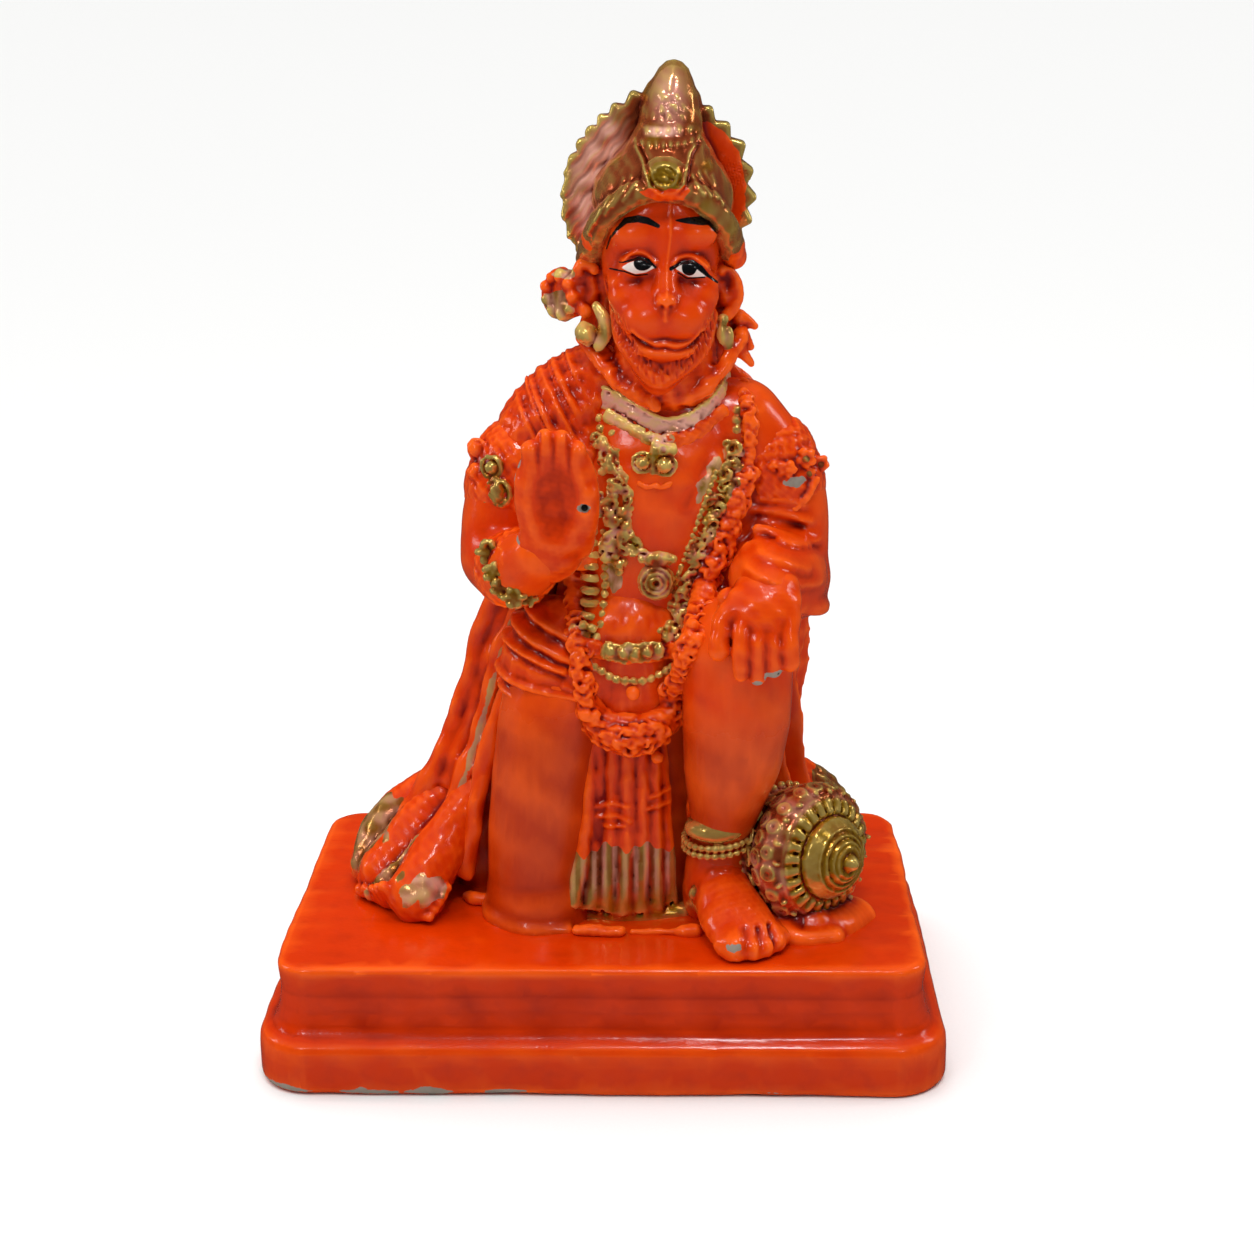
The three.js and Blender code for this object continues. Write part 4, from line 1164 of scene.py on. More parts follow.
# %% Sculpt the face
UPPER_LIDS = (
    curve([(7.2, 171, 0.5), (9.4, 172.8, 0.5), (12.3, 172.9, 0.5), (15, 170.8, 0.5)], 4),
    curve([(19.4, 170.4, 0.5), (20.6, 171.7, 0.5), (22.8, 172.1, 0.5), (25, 171.5, 0.5),
           (27.4, 169.4, 0.5)], 3),
)
MOUTH = curve([(9.4, 154.8, 0.6), (11.4, 153.2, 0.6), (14.7, 151.9, 0.6), (17.3, 151.9, 0.6),
               (20.3, 151.4, 0.6), (24, 152.3, 0.6), (26.2, 154.8, 0.6)], 3)
SEAM = [(18.6, 186, 0.35), (18.7, 177, 0.35), (17.8, 170, 0.35), (17.8, 163.4, 0.35)]
BEARD = [(6, 156), (7.4, 151.4), (11, 147.2), (15.4, 143.4), (20, 145), (25.4, 149), (28, 155)]

face = Clay((-3, -27, 134), (37, 3, 190), 0.3)
face.add(limb([(16.9, 1, 190, 12), (16.6, 0, 180, 14.4, 14.4), (15.9, -0.6, 170, 14.5, 14),
               (16.4, -2, 160, 13, 13.6),
               (16.8, -4.6, 151, 10.4, 12), (16, -8, 145, 6.4, 8)], steps=8), soft=2)
face.add(ball((17.2, -11.4, 158.4), (11.4, 9.4, 6.8)), soft=4)
face.add(ball((13.6, -15.4, 156.6), (5.4, 5, 4.4)), soft=2.5)
face.add(ball((21.2, -15.4, 156.6), (5.4, 5, 4.4)), soft=2.5)
face.add(ball((17.3, -14.4, 150), (7.4, 5.4, 3.2)), soft=1.6)
for x in (10.6, 24):
    face.add(ball((x, -10.8, 177), (5.6, 4.2, 3.4)), soft=4)
for x, z in ((10.8, 169), (23.4, 168.4)):
    face.cut(ball((x, -20.4, z), (6, 5.2, 3.4)), soft=3.4)
    face.add(ball((x, -11.8, z + 0.6), (4.6, 3.9, 2.9)), soft=1.4)
for x in (7.4, 26.2):
    face.add(ball((x, -9.8, 163.4), (4.6, 5, 4.4)), soft=3)
face.add(limb([(18.2, -13.2, 178, 1.6), (17.8, -14.8, 170, 1.6), (17.7, -17.8, 164.6, 2)]), soft=3.6)
face.add(ball((17.6, -20.4, 162.2), (2.1, 1.9, 1.8)), soft=1.6)
face.add(limb([(5.6, -5, 158, 2), (7, -9, 151.4, 2.4), (10.8, -12.6, 147.2, 2.8), (15.2, -14.4, 143, 2.9),
               (20, -13.4, 144.8, 2.8), (25.6, -9.6, 149, 2.5), (28.2, -5, 156, 2)]), soft=1.6)
for x in (16.4, 18.9):
    face.cut(ball((x, -21.8, 160.9), (0.8, 1.1, 0.7)), soft=0.6)


def face_relief(x, y, z):
    lift = ridge(x, z, SEAM, 0.3) - ridge(x, z + 1.3, MOUTH, 0.8) + ridge(x, z, MOUTH, 0.5)
    for lid in UPPER_LIDS:
        lift += ridge(x, z, lid, 0.55) - ridge(x, z + 1.2, lid, 0.2)
    lift -= ridge(x, z, [(2.6, 163.2, 1.6), (6.6, 164.8, 1.6), (10.6, 165.8, 1.6)], 0.7)
    lift -= ridge(x, z, [(31, 163, 1.6), (28, 164.6, 1.6), (24.6, 165.4, 1.6)], 0.6)
    lift += ridge(x, z, [(17.4, 159.6, 0.6), (17.4, 157.8, 0.6)], 0.5)
    hair = np.clip(1.8 - from_line(x, z, [(a, b, 0.8) for a, b in BEARD]), 0, 1)
    lift += hair * (0.16 * ripple(x, y, z, 1.9, 81) + 0.14 * ripple(x, y, z, 1.2, 82, (1, 1, 1.8)))
    return np.where(y < -3, lift, 0) + 0.05 * ripple(x, y, z, 7, 83)


face.emboss(*face.box, face_relief)


def face_paint(points, normals):
    """Eyes and brows, in mm inside each painted shape. They face the front only."""
    x, y, z = points.T
    left_eye = -section(
        [(6.8, 169.3), (8.4, 170.5), (11, 171.4), (13.2, 170.9), (14.8, 169.4), (12.8, 168.3),
         (10.2, 167.9), (6.8, 169.3)], x, z
    )
    right_eye = -section(
        [(19.8, 169.3), (21.6, 170.3), (24, 170.3), (25.6, 168.9), (27.6, 167), (25, 166.9), (22.8, 167.2),
         (19.8, 169.3)], x, z
    )
    white = np.maximum(left_eye, right_eye)
    pupils = np.maximum(
        1.75 - np.hypot((x - 12) / 1.25, z - 170.5), 1.75 - np.hypot((x - 23.1) / 1.02, (z - 169.4) / 1.12)
    )
    lines = (
        [(15.7, 179.3, 0.5), (13.1, 180.5, 0.8), (10.9, 180.9, 0.8), (8, 180.4, 0.65), (5.8, 178.3, 0.35),
         (4.1, 176, 0.26), (3.1, 173, 0.2)],
        [(20, 180.5, 0.2), (22.6, 180.4, 0.7), (26.2, 180.2, 1), (28, 179.7, 0.6), (29.9, 177, 0.28),
         (30.8, 174.2, 0.22)],
        [(6.2, 170.4, 0.16), (8.6, 171, 0.25), (11, 171.7, 0.3), (13.3, 171.3, 0.3), (15, 169.5, 0.28)],
        [(3.8, 168.4, 0.18), (7.5, 168.5, 0.22), (10.4, 167.5, 0.24), (13, 167.8, 0.22)],
        [(18.8, 169.4, 0.5), (21.5, 170.6, 0.3), (24, 170.7, 0.45), (25.8, 169.2, 0.7), (27.6, 167.2, 0.4),
         (30, 165.2, 0.2)],
        [(20.4, 168.3, 0.2), (22.6, 166.7, 0.22), (26.8, 166.9, 0.22)],
    )
    black = np.max([-from_line(x, z, line) for line in lines] + [np.minimum(pupils, white + 0.2)], axis=0)
    front = np.where(y < -6, 0, -9)
    return {"white": white + front, "black": black + front}


sculpted("face", face, paint_skin, face_paint, most=110_000)

# %% [markdown]
# ## Ears, hair and neck cloth
# The hair is a plain mass behind the face, and the ears stand out on it like handles. Earrings hang
# below them, a gilded rosette sits at the left, and a roll of cloth lies round the neck.

# %% Sculpt the ears, the hair and the neck cloth
hair = Clay((-17, -18, 128), (43, 21, 192), 0.42)
hair.add(ball((16.4, 5, 166), (17.4, 10, 16)), soft=1)
hair.add(ball((16, 8, 149.6), (21, 10, 15)), soft=3)
hair.add(limb([(17, -1.6, 152, 12, 8.4), (17, -2.4, 140, 13.4, 9)]), soft=2)
for fold, (inset, size) in enumerate(((0, 1.3), (2.6, 1.1), (5, 0.9))):  # folds of the cloth round the neck
    hair.add(limb([(-4 + inset, 0, 150 - fold, size), (1.4 + inset, -5.4, 143.6 - fold, size),
                   (6.4 + inset, -8.6, 139 - fold, size),
                   (13 + inset / 2, -10.4, 136 - fold, size * 0.8)]), soft=2)
hair.add(limb([(36, 0, 150, 1.8), (32, -4.6, 144, 1.8), (27.4, -8, 139, 1.6), (22, -9.8, 136.2, 1.2)]),
         soft=2)
EARS = (
    [(-0.4, -0.6, 167.2, 1.3), (-3.2, 0, 168.4, 1.4), (-5, 0.8, 165.4, 1.5), (-5.2, 1, 161.8, 1.6),
     (-4.4, 0.6, 158.4, 1.7), (-2.4, -0.6, 156.6, 1.7)],
    [(31.2, -0.6, 166.8, 1.3), (33.6, 0.4, 165.2, 1.4), (35, 1, 161.6, 1.5), (34.4, 0.8, 158.2, 1.6),
     (32.6, 0, 155.4, 1.6)],
)
for rim in EARS:
    middle = rim[2]
    hair.add(ball((middle[0] + (2.6 if middle[0] < 0 else -2.6), 1.8, 162), (3, 2.6, 5.4)), soft=1)
    hair.add(limb(rim), soft=0.8)
    hair.cut(ball((middle[0] + (2.5 if middle[0] < 0 else -2.3), -1.8, 163.2), (1.7, 1.9, 3.4)), soft=1)
for at, size in (((-2.4, -3.6, 151.8), (3.1, 2.4, 2.9)), ((-2.5, -5.6, 151.7), (1.7, 1.3, 1.8)),
                 ((31.2, -3.6, 152), (1.4, 1.6, 3)),
                 ((33, -3.2, 150.4), (1.5, 1.5, 3.2)), ((31.6, -3.4, 155), (1.6, 1.6, 1.6))):
    hair.add(ball(at, size), soft=0.5, gold=True)
hair.add(limb([(0, -3, 158.2, 1.3), (1.9, -4, 155.6, 1.7), (2.2, -4.8, 152, 1.8), (1, -4.8, 149, 1.5)]),
         soft=0.5, gold=True)
ROSETTE = (-8.8, 4, 160.2)
hair.add(turned([(0, -4), (5.6, -4), (6.8, -1), (6.2, 1.4), (4, 2.2), (0, 2.4)], ROSETTE,
                (-0.75, -0.65, 0.1)), soft=1)
for turn in turns(9):
    hair.add(ball((-9.4 + 3.4 * math.cos(turn), 2.4 - 3.4 * math.cos(turn), 160.4 + 4.8 * math.sin(turn)),
                  1.5), soft=0.7)
for start, end in (((36, 4, 154), (39.4, 4, 152)), ((36, 2, 150), (38.6, 2, 147)),
                   ((35, 0, 147), (38.6, 1, 143))):
    hair.add(limb([(*start, 2), (*end, 0.9)]), soft=1.2)
hair.emboss(
    *hair.box,
    lambda x, y, z: 0.25 * ripple(x, y, z, 8, 84, (0.5, 1, 2)) + 0.1 * ripple(x, y, z, 2.4, 85),
)


def hair_paint(points, normals):
    low = spot(points, (-10, 2, 157.4), 4.6, (1.1, 1.3, 0.9))
    top = spot(points, (-8, 1, 166), 2, (1.6, 1.5, 0.8))
    shine = 0.35 + 0.35 * ripple(*points.T, 5, 87)
    return {"gold": np.maximum(low, top) + 0.5 * ripple(*points.T, 4, 86), "rose": 0.1, "silver": shine}


sculpted("hair_and_ears", hair, paint_skin, hair_paint, most=52_000)

# %% [markdown]
# ## Crown and crest
# The crown is a dome with a tall peak, turned a little off its axis, and a brim that dips over the ears.
# Behind it stands a round crest with small points along its edge. Its points are larger on the right.

# %% Sculpt the crown
CREST_POINTS = [
    (-4.3, 168.4), (-7.2, 174.1), (-8.6, 179), (-8.8, 184.4), (-7.9, 189.6), (-6.6, 193.4), (-4.5, 197.3),
    (-2, 200.4),
    (1.2, 203.4), (4.5, 206.1), (9.2, 209.1), (14, 211), (20, 211), (25, 208.6), (28.6, 205.2), (33, 201.2),
    (36.9, 196.4),
    (39, 189.9), (39.8, 183.3), (38.7, 177.5), (36.4, 173),
]
CREST_MIDDLE = (15.8, 185)
CREST_ROUNDING = 1.2  # mm: the outline is drawn this far inside, and grown again, which rounds its points


def crest_outline():
    """The crest's edge: each point, with a small valley towards the next."""
    outline = [(6, 166)]
    for (x0, z0), (x1, z1) in zip(CREST_POINTS, CREST_POINTS[1:] + [(30, 166)]):
        outline.append((x0, z0))
        deep = (0.12 if x0 < 0 and z0 < 190 else 0.36) * min(math.hypot(x1 - x0, z1 - z0), 6)
        x, z = (x0 + x1) / 2 - CREST_MIDDLE[0], (z0 + z1) / 2 - CREST_MIDDLE[1]
        inward = 1 - deep / math.hypot(x, z)
        outline.append((CREST_MIDDLE[0] + x * inward, CREST_MIDDLE[1] + z * inward))
    away = np.array(outline) - CREST_MIDDLE
    far = np.hypot(*away.T)[:, None]
    inset = [*map(tuple, CREST_MIDDLE + away * (1 - CREST_ROUNDING / far))]
    return [*inset, (26, inset[0][1]), inset[0]]


def crest_form():
    outline = crest_outline()

    def distance(x, y, z):
        flat, tall = np.broadcast_arrays(x, z)
        edge = section(outline, flat[:, 0, :], tall[:, 0, :])[:, None, :]
        away = np.hypot(x - CREST_MIDDLE[0], z - CREST_MIDDLE[1])
        thick = 1.3 + 0.05 * np.maximum(away - 12, 0)
        y = y - (10.4 - 0.16 * np.maximum(away - 12, 0))
        past, up = np.maximum(edge, 0), np.maximum(np.abs(y) - thick, 0)
        outside, inside = np.sqrt(past**2 + up**2), np.minimum(np.maximum(edge, np.abs(y) - thick), 0)
        return outside + inside - CREST_ROUNDING

    return [(np.array([-10, 4, 166]), np.array([41, 14, 212]), distance)]


BRIM = [
    (-1.6, 3, 169.6, 3.4), (0.4, -5.6, 176.4, 3.2), (3.6, -10.6, 181.6, 3), (9.5, -14, 186.2, 2.8),
    (17, -15.6, 188, 2.6),
    (24.4, -14, 186.2, 2.8), (30, -10.4, 181.4, 3), (32.6, -5, 176, 3.2), (34, 3, 169.6, 3.4),
]
crown = Clay((-14, -23, 160), (44, 21, 220), 0.36)
crown.add(crest_form(), soft=0.3, gold=True)
crown.add(ball((16.6, 1.2, 184), (17.4, 17, 13.6)), soft=1, gold=True)
crown.cut([((-8, -30, 150), (42, 8, 186), lambda x, y, z: np.maximum(
    np.hypot((x - 16.4) / 14.6, (z - 171) / 14) * 14 - 14, y - 2) + 0 * y)], soft=1)
crown.add(limb(BRIM, steps=8), soft=1.2, gold=True)
crown.add(turned([(0, -8), (13.4, -8), (13.2, -2), (12.4, 2), (10.8, 6), (8.8, 9), (7.9, 11.4), (7.3, 15),
                  (6.3, 18.6),
                  (5, 22.2), (3.7, 24.8), (2, 26.5), (0, 27.1)], (17.8, 1.4, 190), (0.07, 0.2, 1)), soft=2,
                  gold=True)
crown.add(ball((17.3, -15, 191), (5.4, 3.4, 4.6)), soft=1.4, gold=True)
V_FRAME = [(10.4, 197, 0.5), (12, 194.2, 0.5), (13.9, 188.8, 0.5), (16.6, 187, 0.5), (20, 187.2, 0.5),
           (21.8, 189, 0.5), (23.2, 195.4, 0.5), (24.4, 197, 0.5)]
LEAVES = [
    ((3, 182), (7.6, 190)), ((5, 184), (9.4, 190.6)), ((7.4, 185.4), (10.8, 190)),
    ((24, 190.6), (26.6, 186.6)),
    ((25.4, 191.2), (28.4, 186.2)), ((27, 191.4), (30, 185.6)), ((28.6, 190.4), (31.4, 184)),
    ((0.6, 180), (4, 186)), ((-1.4, 177), (1.8, 183.4)),
]


def crown_relief(x, y, z):
    front = np.clip(-y / 3, 0, 1)
    frame = ridge(x, z, V_FRAME, 0.7) - ridge(x, z, [(a + 0.9, b, w) for a, b, w in V_FRAME], 0.5)
    band = 0.5 * np.exp(-(((z - 197.4 - 0.02 * (x - 17) ** 2) / 0.8) ** 2))
    band = band * (0.7 + 0.5 * np.cos(x * TURN / 1.7))
    ledge = 0.6 * np.exp(-(((z - 200.8) / 1) ** 2)) * (0.8 + 0.4 * np.cos(x * TURN / 2.6))
    leaves = sum(ridge(x, z, [(*a, 0.5), (*b, 0.5)], 0.55) for a, b in LEAVES)
    oval = np.hypot((x - 17.4) / 3, (z - 191.2) / 2.5)
    jewel = 0.5 * np.exp(-(((oval - 1) / 0.16) ** 2)) + 0.25 * (oval < 0.9) * ripple(x, y, z, 1.6, 91)
    peak = np.clip((z - 201) / 3, 0, 1)
    worms = 0.3 * np.tanh(2.4 * ripple(x, y, z, 2.2, 92, (1.2, 1, 0.8))) * peak
    worms = worms * np.clip(1.4 - np.abs(x - 18.6) / 4.4, 0, 1)
    plain = 0.12 * ripple(x, y, z, 6, 93) + 0.07 * ripple(x, y, z, 2.2, 94)
    return front * (frame + band + ledge + leaves + jewel + worms) + plain


def crest_relief(x, y, z):
    """Streaks that run up the crest's front, and fine cross-hatching at the right."""
    left = np.clip((12 - x) / 4, 0, 1)
    way = (x * 0.75 - z * 0.62) * TURN
    streaks = 0.14 * np.sin(way / 3.7 + 0.9 * np.sin(z / 4)) + 0.1 * np.sin(way / 1.7 + np.sin(x + z / 2))
    hatch = np.clip(1.5 - np.hypot(x - 34.4, (z - 189)) / 4, 0, 1) * 0.25
    hatch = hatch * np.sin((x + z) * TURN / 1.2) * np.sin((x - z) * TURN / 2)
    return np.where(y < 9, left * streaks + hatch, 0)


crown.emboss((-14, -23, 160), (44, 5, 220), crown_relief)
crown.emboss((-14, 5.2, 160), (44, 9, 220), crest_relief, reach=1.5)


def crown_paint(points, normals):
    x, y, z = points.T
    away = np.hypot(x - CREST_MIDDLE[0], z - CREST_MIDDLE[1])
    right = np.where((x > 26) & (y > 5), np.minimum(21.4 - away, 3) - np.clip((z - 199) / 2, 0, 3), -3)
    low_right = spot(points, (35, 2, 171), 4, (1, 1.4, 1.2))
    low_left = spot(points, (-1.4, -2, 176.4), 2.4, (0.7, 3, 1.9))
    rim = 1.5 - np.abs(z - 186.6 - 0.03 * (x - 17.4) ** 2)
    rim = rim - np.clip(np.abs(x - 17.6) - 4.4, 0, 9) + np.where(y < -8, 0, -9)
    behind = 5 * normals[:, 1] - 2 + np.where(y > 4, 0, -9)
    red = np.max([right, low_right, low_left, rim, behind], axis=0) + 0.4 * ripple(x, y, z, 5, 96)
    # the crest's left face: silvery pink paint, made lighter still as a painted highlight
    silver = np.clip((9 - x) / 5, 0, 1) * (y > 4) * np.clip(1.6 - np.abs(away - 16.5) / 5, 0, 1)
    silver = silver * (0.85 + 0.3 * ripple(x, y, z, 5, 98))
    # a painted highlight on the front of the peak
    bright = 0.6 * np.clip(1.5 - np.hypot(x - 18.4, (z - 208) / 1.8) / 3.6, 0, 1) * (y < 3)
    # a painted highlight along the ledge under the peak
    bar = np.clip(1.6 - np.abs(z - 200.4) / 0.9, 0, 1) * np.clip(1.7 - np.abs(x - 17) / 3, 0, 1) * (y < 0)
    jewel = (np.hypot((x - 17.4) / 4, (z - 191) / 3.6) < 1) * (y < 0)
    rose = 0.6 + 0.4 * ripple(x, y, z, 9, 97) - 0.9 * jewel
    return {"red": red, "silver": np.max([silver, bright, bar], axis=0).clip(0, 1), "rose": rose}


sculpted("crown", crown, paint_skin, crown_paint, most=86_000)

# %% [markdown]
# ## Jewellery on the chest
# A collar, a pendant, strings of gilded beads and a garland of flowers lie on the chest. On the casting
# they are lumps that stand a millimetre or two above the skin, so each one is placed on the front of the
# clay that is already there, along a line drawn in the plane of the picture.

# %% Lines that lie on the body
def front_of(x, z, clays):
    """The y of the foremost surface of some blocks of clay, at each x and z."""
    found = np.full(len(x), 30.0)
    for clay in clays:
        i = np.round((np.array(x) - clay.low[0]) / clay.step).astype(int)
        k = np.round((np.array(z) - clay.low[2]) / clay.step).astype(int)
        held = (i >= 0) & (i < clay.shape[0]) & (k >= 0) & (k < clay.shape[2])
        i, k = i.clip(0, clay.shape[0] - 1), k.clip(0, clay.shape[2] - 1)
        inside = clay.near[i, :, k] < 0
        y = clay.low[1] + clay.step * inside.argmax(1)
        found = np.minimum(found, np.where(held & inside.any(1), y, 30))
    return found


def spaced(line, gap):
    """Places at even gaps along a smooth line through some points."""
    path = curve(line, 12)
    length = np.concatenate([[0], np.cumsum(np.linalg.norm(np.diff(path, axis=0), axis=1))])
    at = np.linspace(0, length[-1], max(2, round(length[-1] / gap) + 1))
    return np.stack([np.interp(at, length, axis) for axis in path.T], 1)


def on_body(line, gap, proud=0.0):
    """Places [x, y, z] on the front of the body, at even gaps along a line [x, z]."""
    places = spaced(line, gap)
    y = front_of(places[:, 0], places[:, 1], (body, waist))
    y = np.convolve(np.pad(y, 2, mode="edge"), np.ones(5) / 5, mode="valid")
    return np.stack([places[:, 0], y - proud, places[:, 1]], 1)


# %% Sculpt the chest jewellery
chest = Clay((-14, -34, 38), (46, 8, 148), 0.36)
random = np.random.default_rng(7)


def strand(line, gap, size, gold, soft=0.4):
    """A string of beads on the body."""
    for at in on_body(line, gap, 0.3 * size):
        chest.add(ball(at, size * random.uniform(0.85, 1.15)), soft=soft, gold=gold)


def lumps(line, wide, thick, gold, curls=0.35, size=1.0):
    """A rope of small lumps and curls on the body, like petals or pressed wire."""
    for x, y, z in on_body(line, 1.3, 0.0):
        for _ in range(3):
            aside, along = random.uniform(-1, 1), random.uniform(-0.7, 0.7)
            at = (x + aside * wide / 2, y - thick * (1 - 0.8 * aside**2), z + along)
            own = size * random.uniform(0.75, 1.2)
            if random.random() < curls:
                axis = (random.normal() * 0.5, -1, random.normal() * 0.5)
                chest.add(hoop(at, axis, own * 0.85, own * 0.4), soft=0.3, gold=gold)
            else:
                chest.add(ball(at, (own, own * 0.9, own * 0.85)), soft=0.4, gold=gold)


COLLAR = [(1.6, 136), (8.5, 133), (17.6, 129), (26.2, 131.8), (34.4, 139.4)]
collar = on_body(COLLAR, 1.5, 0.4)
chest.add(limb([(*at, 2.4, 1.2) for at in collar], wide=(0, 0, 1), steps=1), soft=0.5, gold=True)
for drop, size in ((-2.7, 0.62), (2.3, 0.6)):
    chest.add(limb([(x, y - 0.6, z + drop, size) for x, y, z in collar], steps=1), soft=0.3, gold=True)
LOWER = [(2.4, 131.6), (9, 128.4), (16.4, 125.6), (25, 127.6), (32, 132.6)]
lower = on_body(LOWER, 1.5, 0.3)
chest.add(limb([(*at, 1.9, 0.9) for at in lower if at[0] < 19], wide=(0, 0, 1), steps=1), soft=0.5,
          gold=True)
chest.add(limb([(*at, 1.9, 0.9) for at in lower if at[0] > 17.5], wide=(0, 0, 1), steps=1), soft=0.5)
for x, z, wide, tall in ((6.1, 136.4, 2.2, 1.7), (23, 137.4, 4, 1.6), (15, 125.8, 1.7, 1.7)):
    y = front_of([x], [z], (body,))[0]
    chest.add(ball((x, y - 0.8, z), (wide, 1.5, tall)), soft=0.4, gold=True)

# pendant: a square setting with a pupil, and two gems below
pendant_y = front_of([16], [121], (body,))[0]
chest.add(limb([(14.4, pendant_y - 0.4, 124.4, 1.7, 1.2), (19, pendant_y - 0.4, 124.4, 1.7, 1.2)],
               wide=(0, 0, 1), steps=1), soft=0.4, gold=True)
chest.add(hoop((16.6, pendant_y - 1.5, 124.6), (0, -1, 0), 1, 0.4), soft=0.3, gold=True)
for x, z, size in ((11.4, 121.2, 1.7), (16.8, 120.6, 2)):
    chest.add(hoop((x, pendant_y - 0.6, z), (0, -1, 0), size + 0.7, 0.6), soft=0.3, gold=True)
    chest.add(ball((x, pendant_y - 1, z), size), soft=0.3, gold=True)
chest.add(limb([(14.1, pendant_y - 0.8, 126, 0.55), (13.9, pendant_y - 0.8, 118.6, 0.55)], steps=1),
          soft=0.3, gold=True)
strand([(10.6, 116), (12.6, 115), (14.4, 115.6), (16.2, 115), (18.4, 116)], 1, 0.7, False)

# strings of curled gold beads down both sides of the chest, and a medallion where they meet
lumps([(1.2, 127), (4.2, 118), (6, 111.6), (5.4, 106), (8.8, 98.6)], 5.4, 1.5, True, 0.5, 1.15)
lumps([(2, 113), (3.4, 106), (3.6, 99), (4.4, 95)], 5.6, 1.7, True, 0.5, 1.2)
strand([(-0.4, 140), (0.2, 132), (1.4, 126)], 2.2, 1.3, True)
strand([(3.6, 124), (6.8, 117), (8.6, 111), (8, 105), (11, 98.4)], 1.7, 0.75, True)
strand([(3.6, 103), (4, 97), (5.4, 93)], 2, 1.2, True)
for x, y, z in on_body([(-2.2, 106), (-2, 99), (-2.1, 92.3), (-2.3, 81)], 3.1, 0.8):
    chest.add(hoop((x, y + 0.6, z), (0.1, 0.15, 1), 1.7, 1.05), soft=0.4, gold=True)
strand([(1.4, 103), (1.6, 96), (1.6, 88), (0.8, 80)], 2.2, 1.1, True)
strand([(36.4, 143), (35.8, 138), (35.2, 134), (34.8, 128)], 2.2, 1.3, True)
lumps([(33.4, 121), (30.8, 113), (28, 104), (25, 96.5), (22.2, 89), (19.6, 81), (17.6, 75.6)], 5, 1.6, True,
      0.45, 1.1)
lumps([(34.4, 124), (34.6, 117), (33, 110)], 5, 1.8, True, 0.5, 1.3)
strand([(29.6, 118), (26.6, 110), (23.8, 102), (21, 94.5), (18.6, 88)], 1.7, 0.8, True)
for x, z, size in ((34.6, 117.8, 2.2), (34.4, 110, 1.9)):
    at = (x, front_of([x], [z], (body,))[0] - 1, z)
    chest.add(hoop(at, (0.2, -1, 0.1), size, 0.8), soft=0.4, gold=x > 34.5)
    chest.add(ball(at, size * 0.5), soft=0.4, gold=True)
middle = (14.6, front_of([14.6], [91], (body,))[0], 90.6)
chest.add(ball(middle, (4.8, 1.9, 5)), soft=0.6, gold=True)
for size in (1.2, 2.5, 3.8):
    bulge = 1.9 * math.sqrt(1 - (size / 4.9) ** 2) + 0.15
    chest.add(hoop((middle[0], middle[1] - bulge, middle[2]), (0, -1, 0), size, 0.42), soft=0.3, gold=True)
chest.add(ball((15, middle[1] - 0.4, 96.6), (4.6, 1.6, 2.1)), soft=0.6, gold=True)
for i in range(5):
    chest.add(ball((11 + 2 * i, middle[1] - 1.4, 97.4 - 0.3 * abs(i - 2)), 1.1), soft=0.4, gold=True)

# the flower garland: small petals at the sides, a thick clump at the bottom
GARLAND = [  # line on the body, width, how far it stands out
    ([(36.6, 141), (38, 132), (38, 124), (37, 117)], 3, 1.3),
    ([(37, 117), (34.8, 110), (32.2, 103), (29.4, 95.5), (26.6, 88), (24, 80), (21.8, 72), (20, 64),
      (17.8, 57)], 6.2, 2.4),
    ([(-5.4, 98), (-6.2, 90), (-6, 82), (-5, 74), (-4, 66), (-2.6, 59), (-0.4, 54)], 5, 2),
    ([(-2.4, 58), (1, 51.6), (7.8, 48.4), (14.4, 51), (18.4, 58)], 7.4, 4.6),
    ([(0.6, 54.6), (7.8, 53.2), (14.8, 54.8)], 5.6, 5),
    ([(0.2, 52.6), (7.8, 50.6), (15.4, 52.6)], 7.6, 5.4),
]
for line, wide, thick in GARLAND:
    rope = [(x, y, z, wide / 2, thick) for x, y, z in on_body(line, 3, 0)]
    chest.add(limb(rope, wide=(1, 0, 0), steps=2), soft=1)
    lumps(line, wide, thick + 0.2, False, 0.4, 0.85 + 0.09 * wide)
    lumps(line, wide * 0.8, thick + 0.6, False, 0.5, 0.75 + 0.09 * wide)

# belt: a plaque between two rosettes, and a thin chain under it
belt = on_body([(-7, 76), (-3.4, 74.8), (3, 73), (10, 72.6), (17, 73), (24, 75)], 1.5, 0.6)
chest.add(limb([(*at, 2.3, 1.3) for at in belt], wide=(0, 0, 1), steps=1), soft=0.5)
plaque = on_body([(1.6, 74), (8.6, 73.4), (15.5, 74)], 1.5, 1.4)
chest.add(limb([(*at, 2.5, 1) for at in plaque], wide=(0, 0, 1), steps=1), soft=0.4, gold=True)
for x, y, z in plaque[1::2]:
    chest.add(ball((x, y - 0.9, z), (1.3, 0.8, 1.5)), soft=0.3, gold=True)
for x, z, size in ((-3.9, 76.7, 4.2), (17.4, 76.4, 3.4)):
    at = np.array((x, front_of([x], [z], (body, waist))[0] - 1, z))
    chest.add(ball(at, (size * 0.5, 1.6, size * 0.5)), soft=0.4, gold=True)
    for turn in turns(8):
        away = (size * 0.78 * math.cos(turn), 0.2, size * 0.78 * math.sin(turn))
        chest.add(ball(at + away, size * 0.3), soft=0.4, gold=True)
for x, y, z in on_body([(-4.6, 72), (0.3, 68.7), (5.3, 66), (12.9, 66), (18.4, 69), (21, 73)], 2.2, 0.6):
    chest.add(ball((x, y, z), 1.15), soft=0.4, gold=True)
for x, z, size in ((8.6, 62.7, 1.9), (14.6, 44.1, 1.7)):
    chest.add(ball((x, front_of([x], [z], (waist, body))[0] - 1, z), size), soft=0.5)
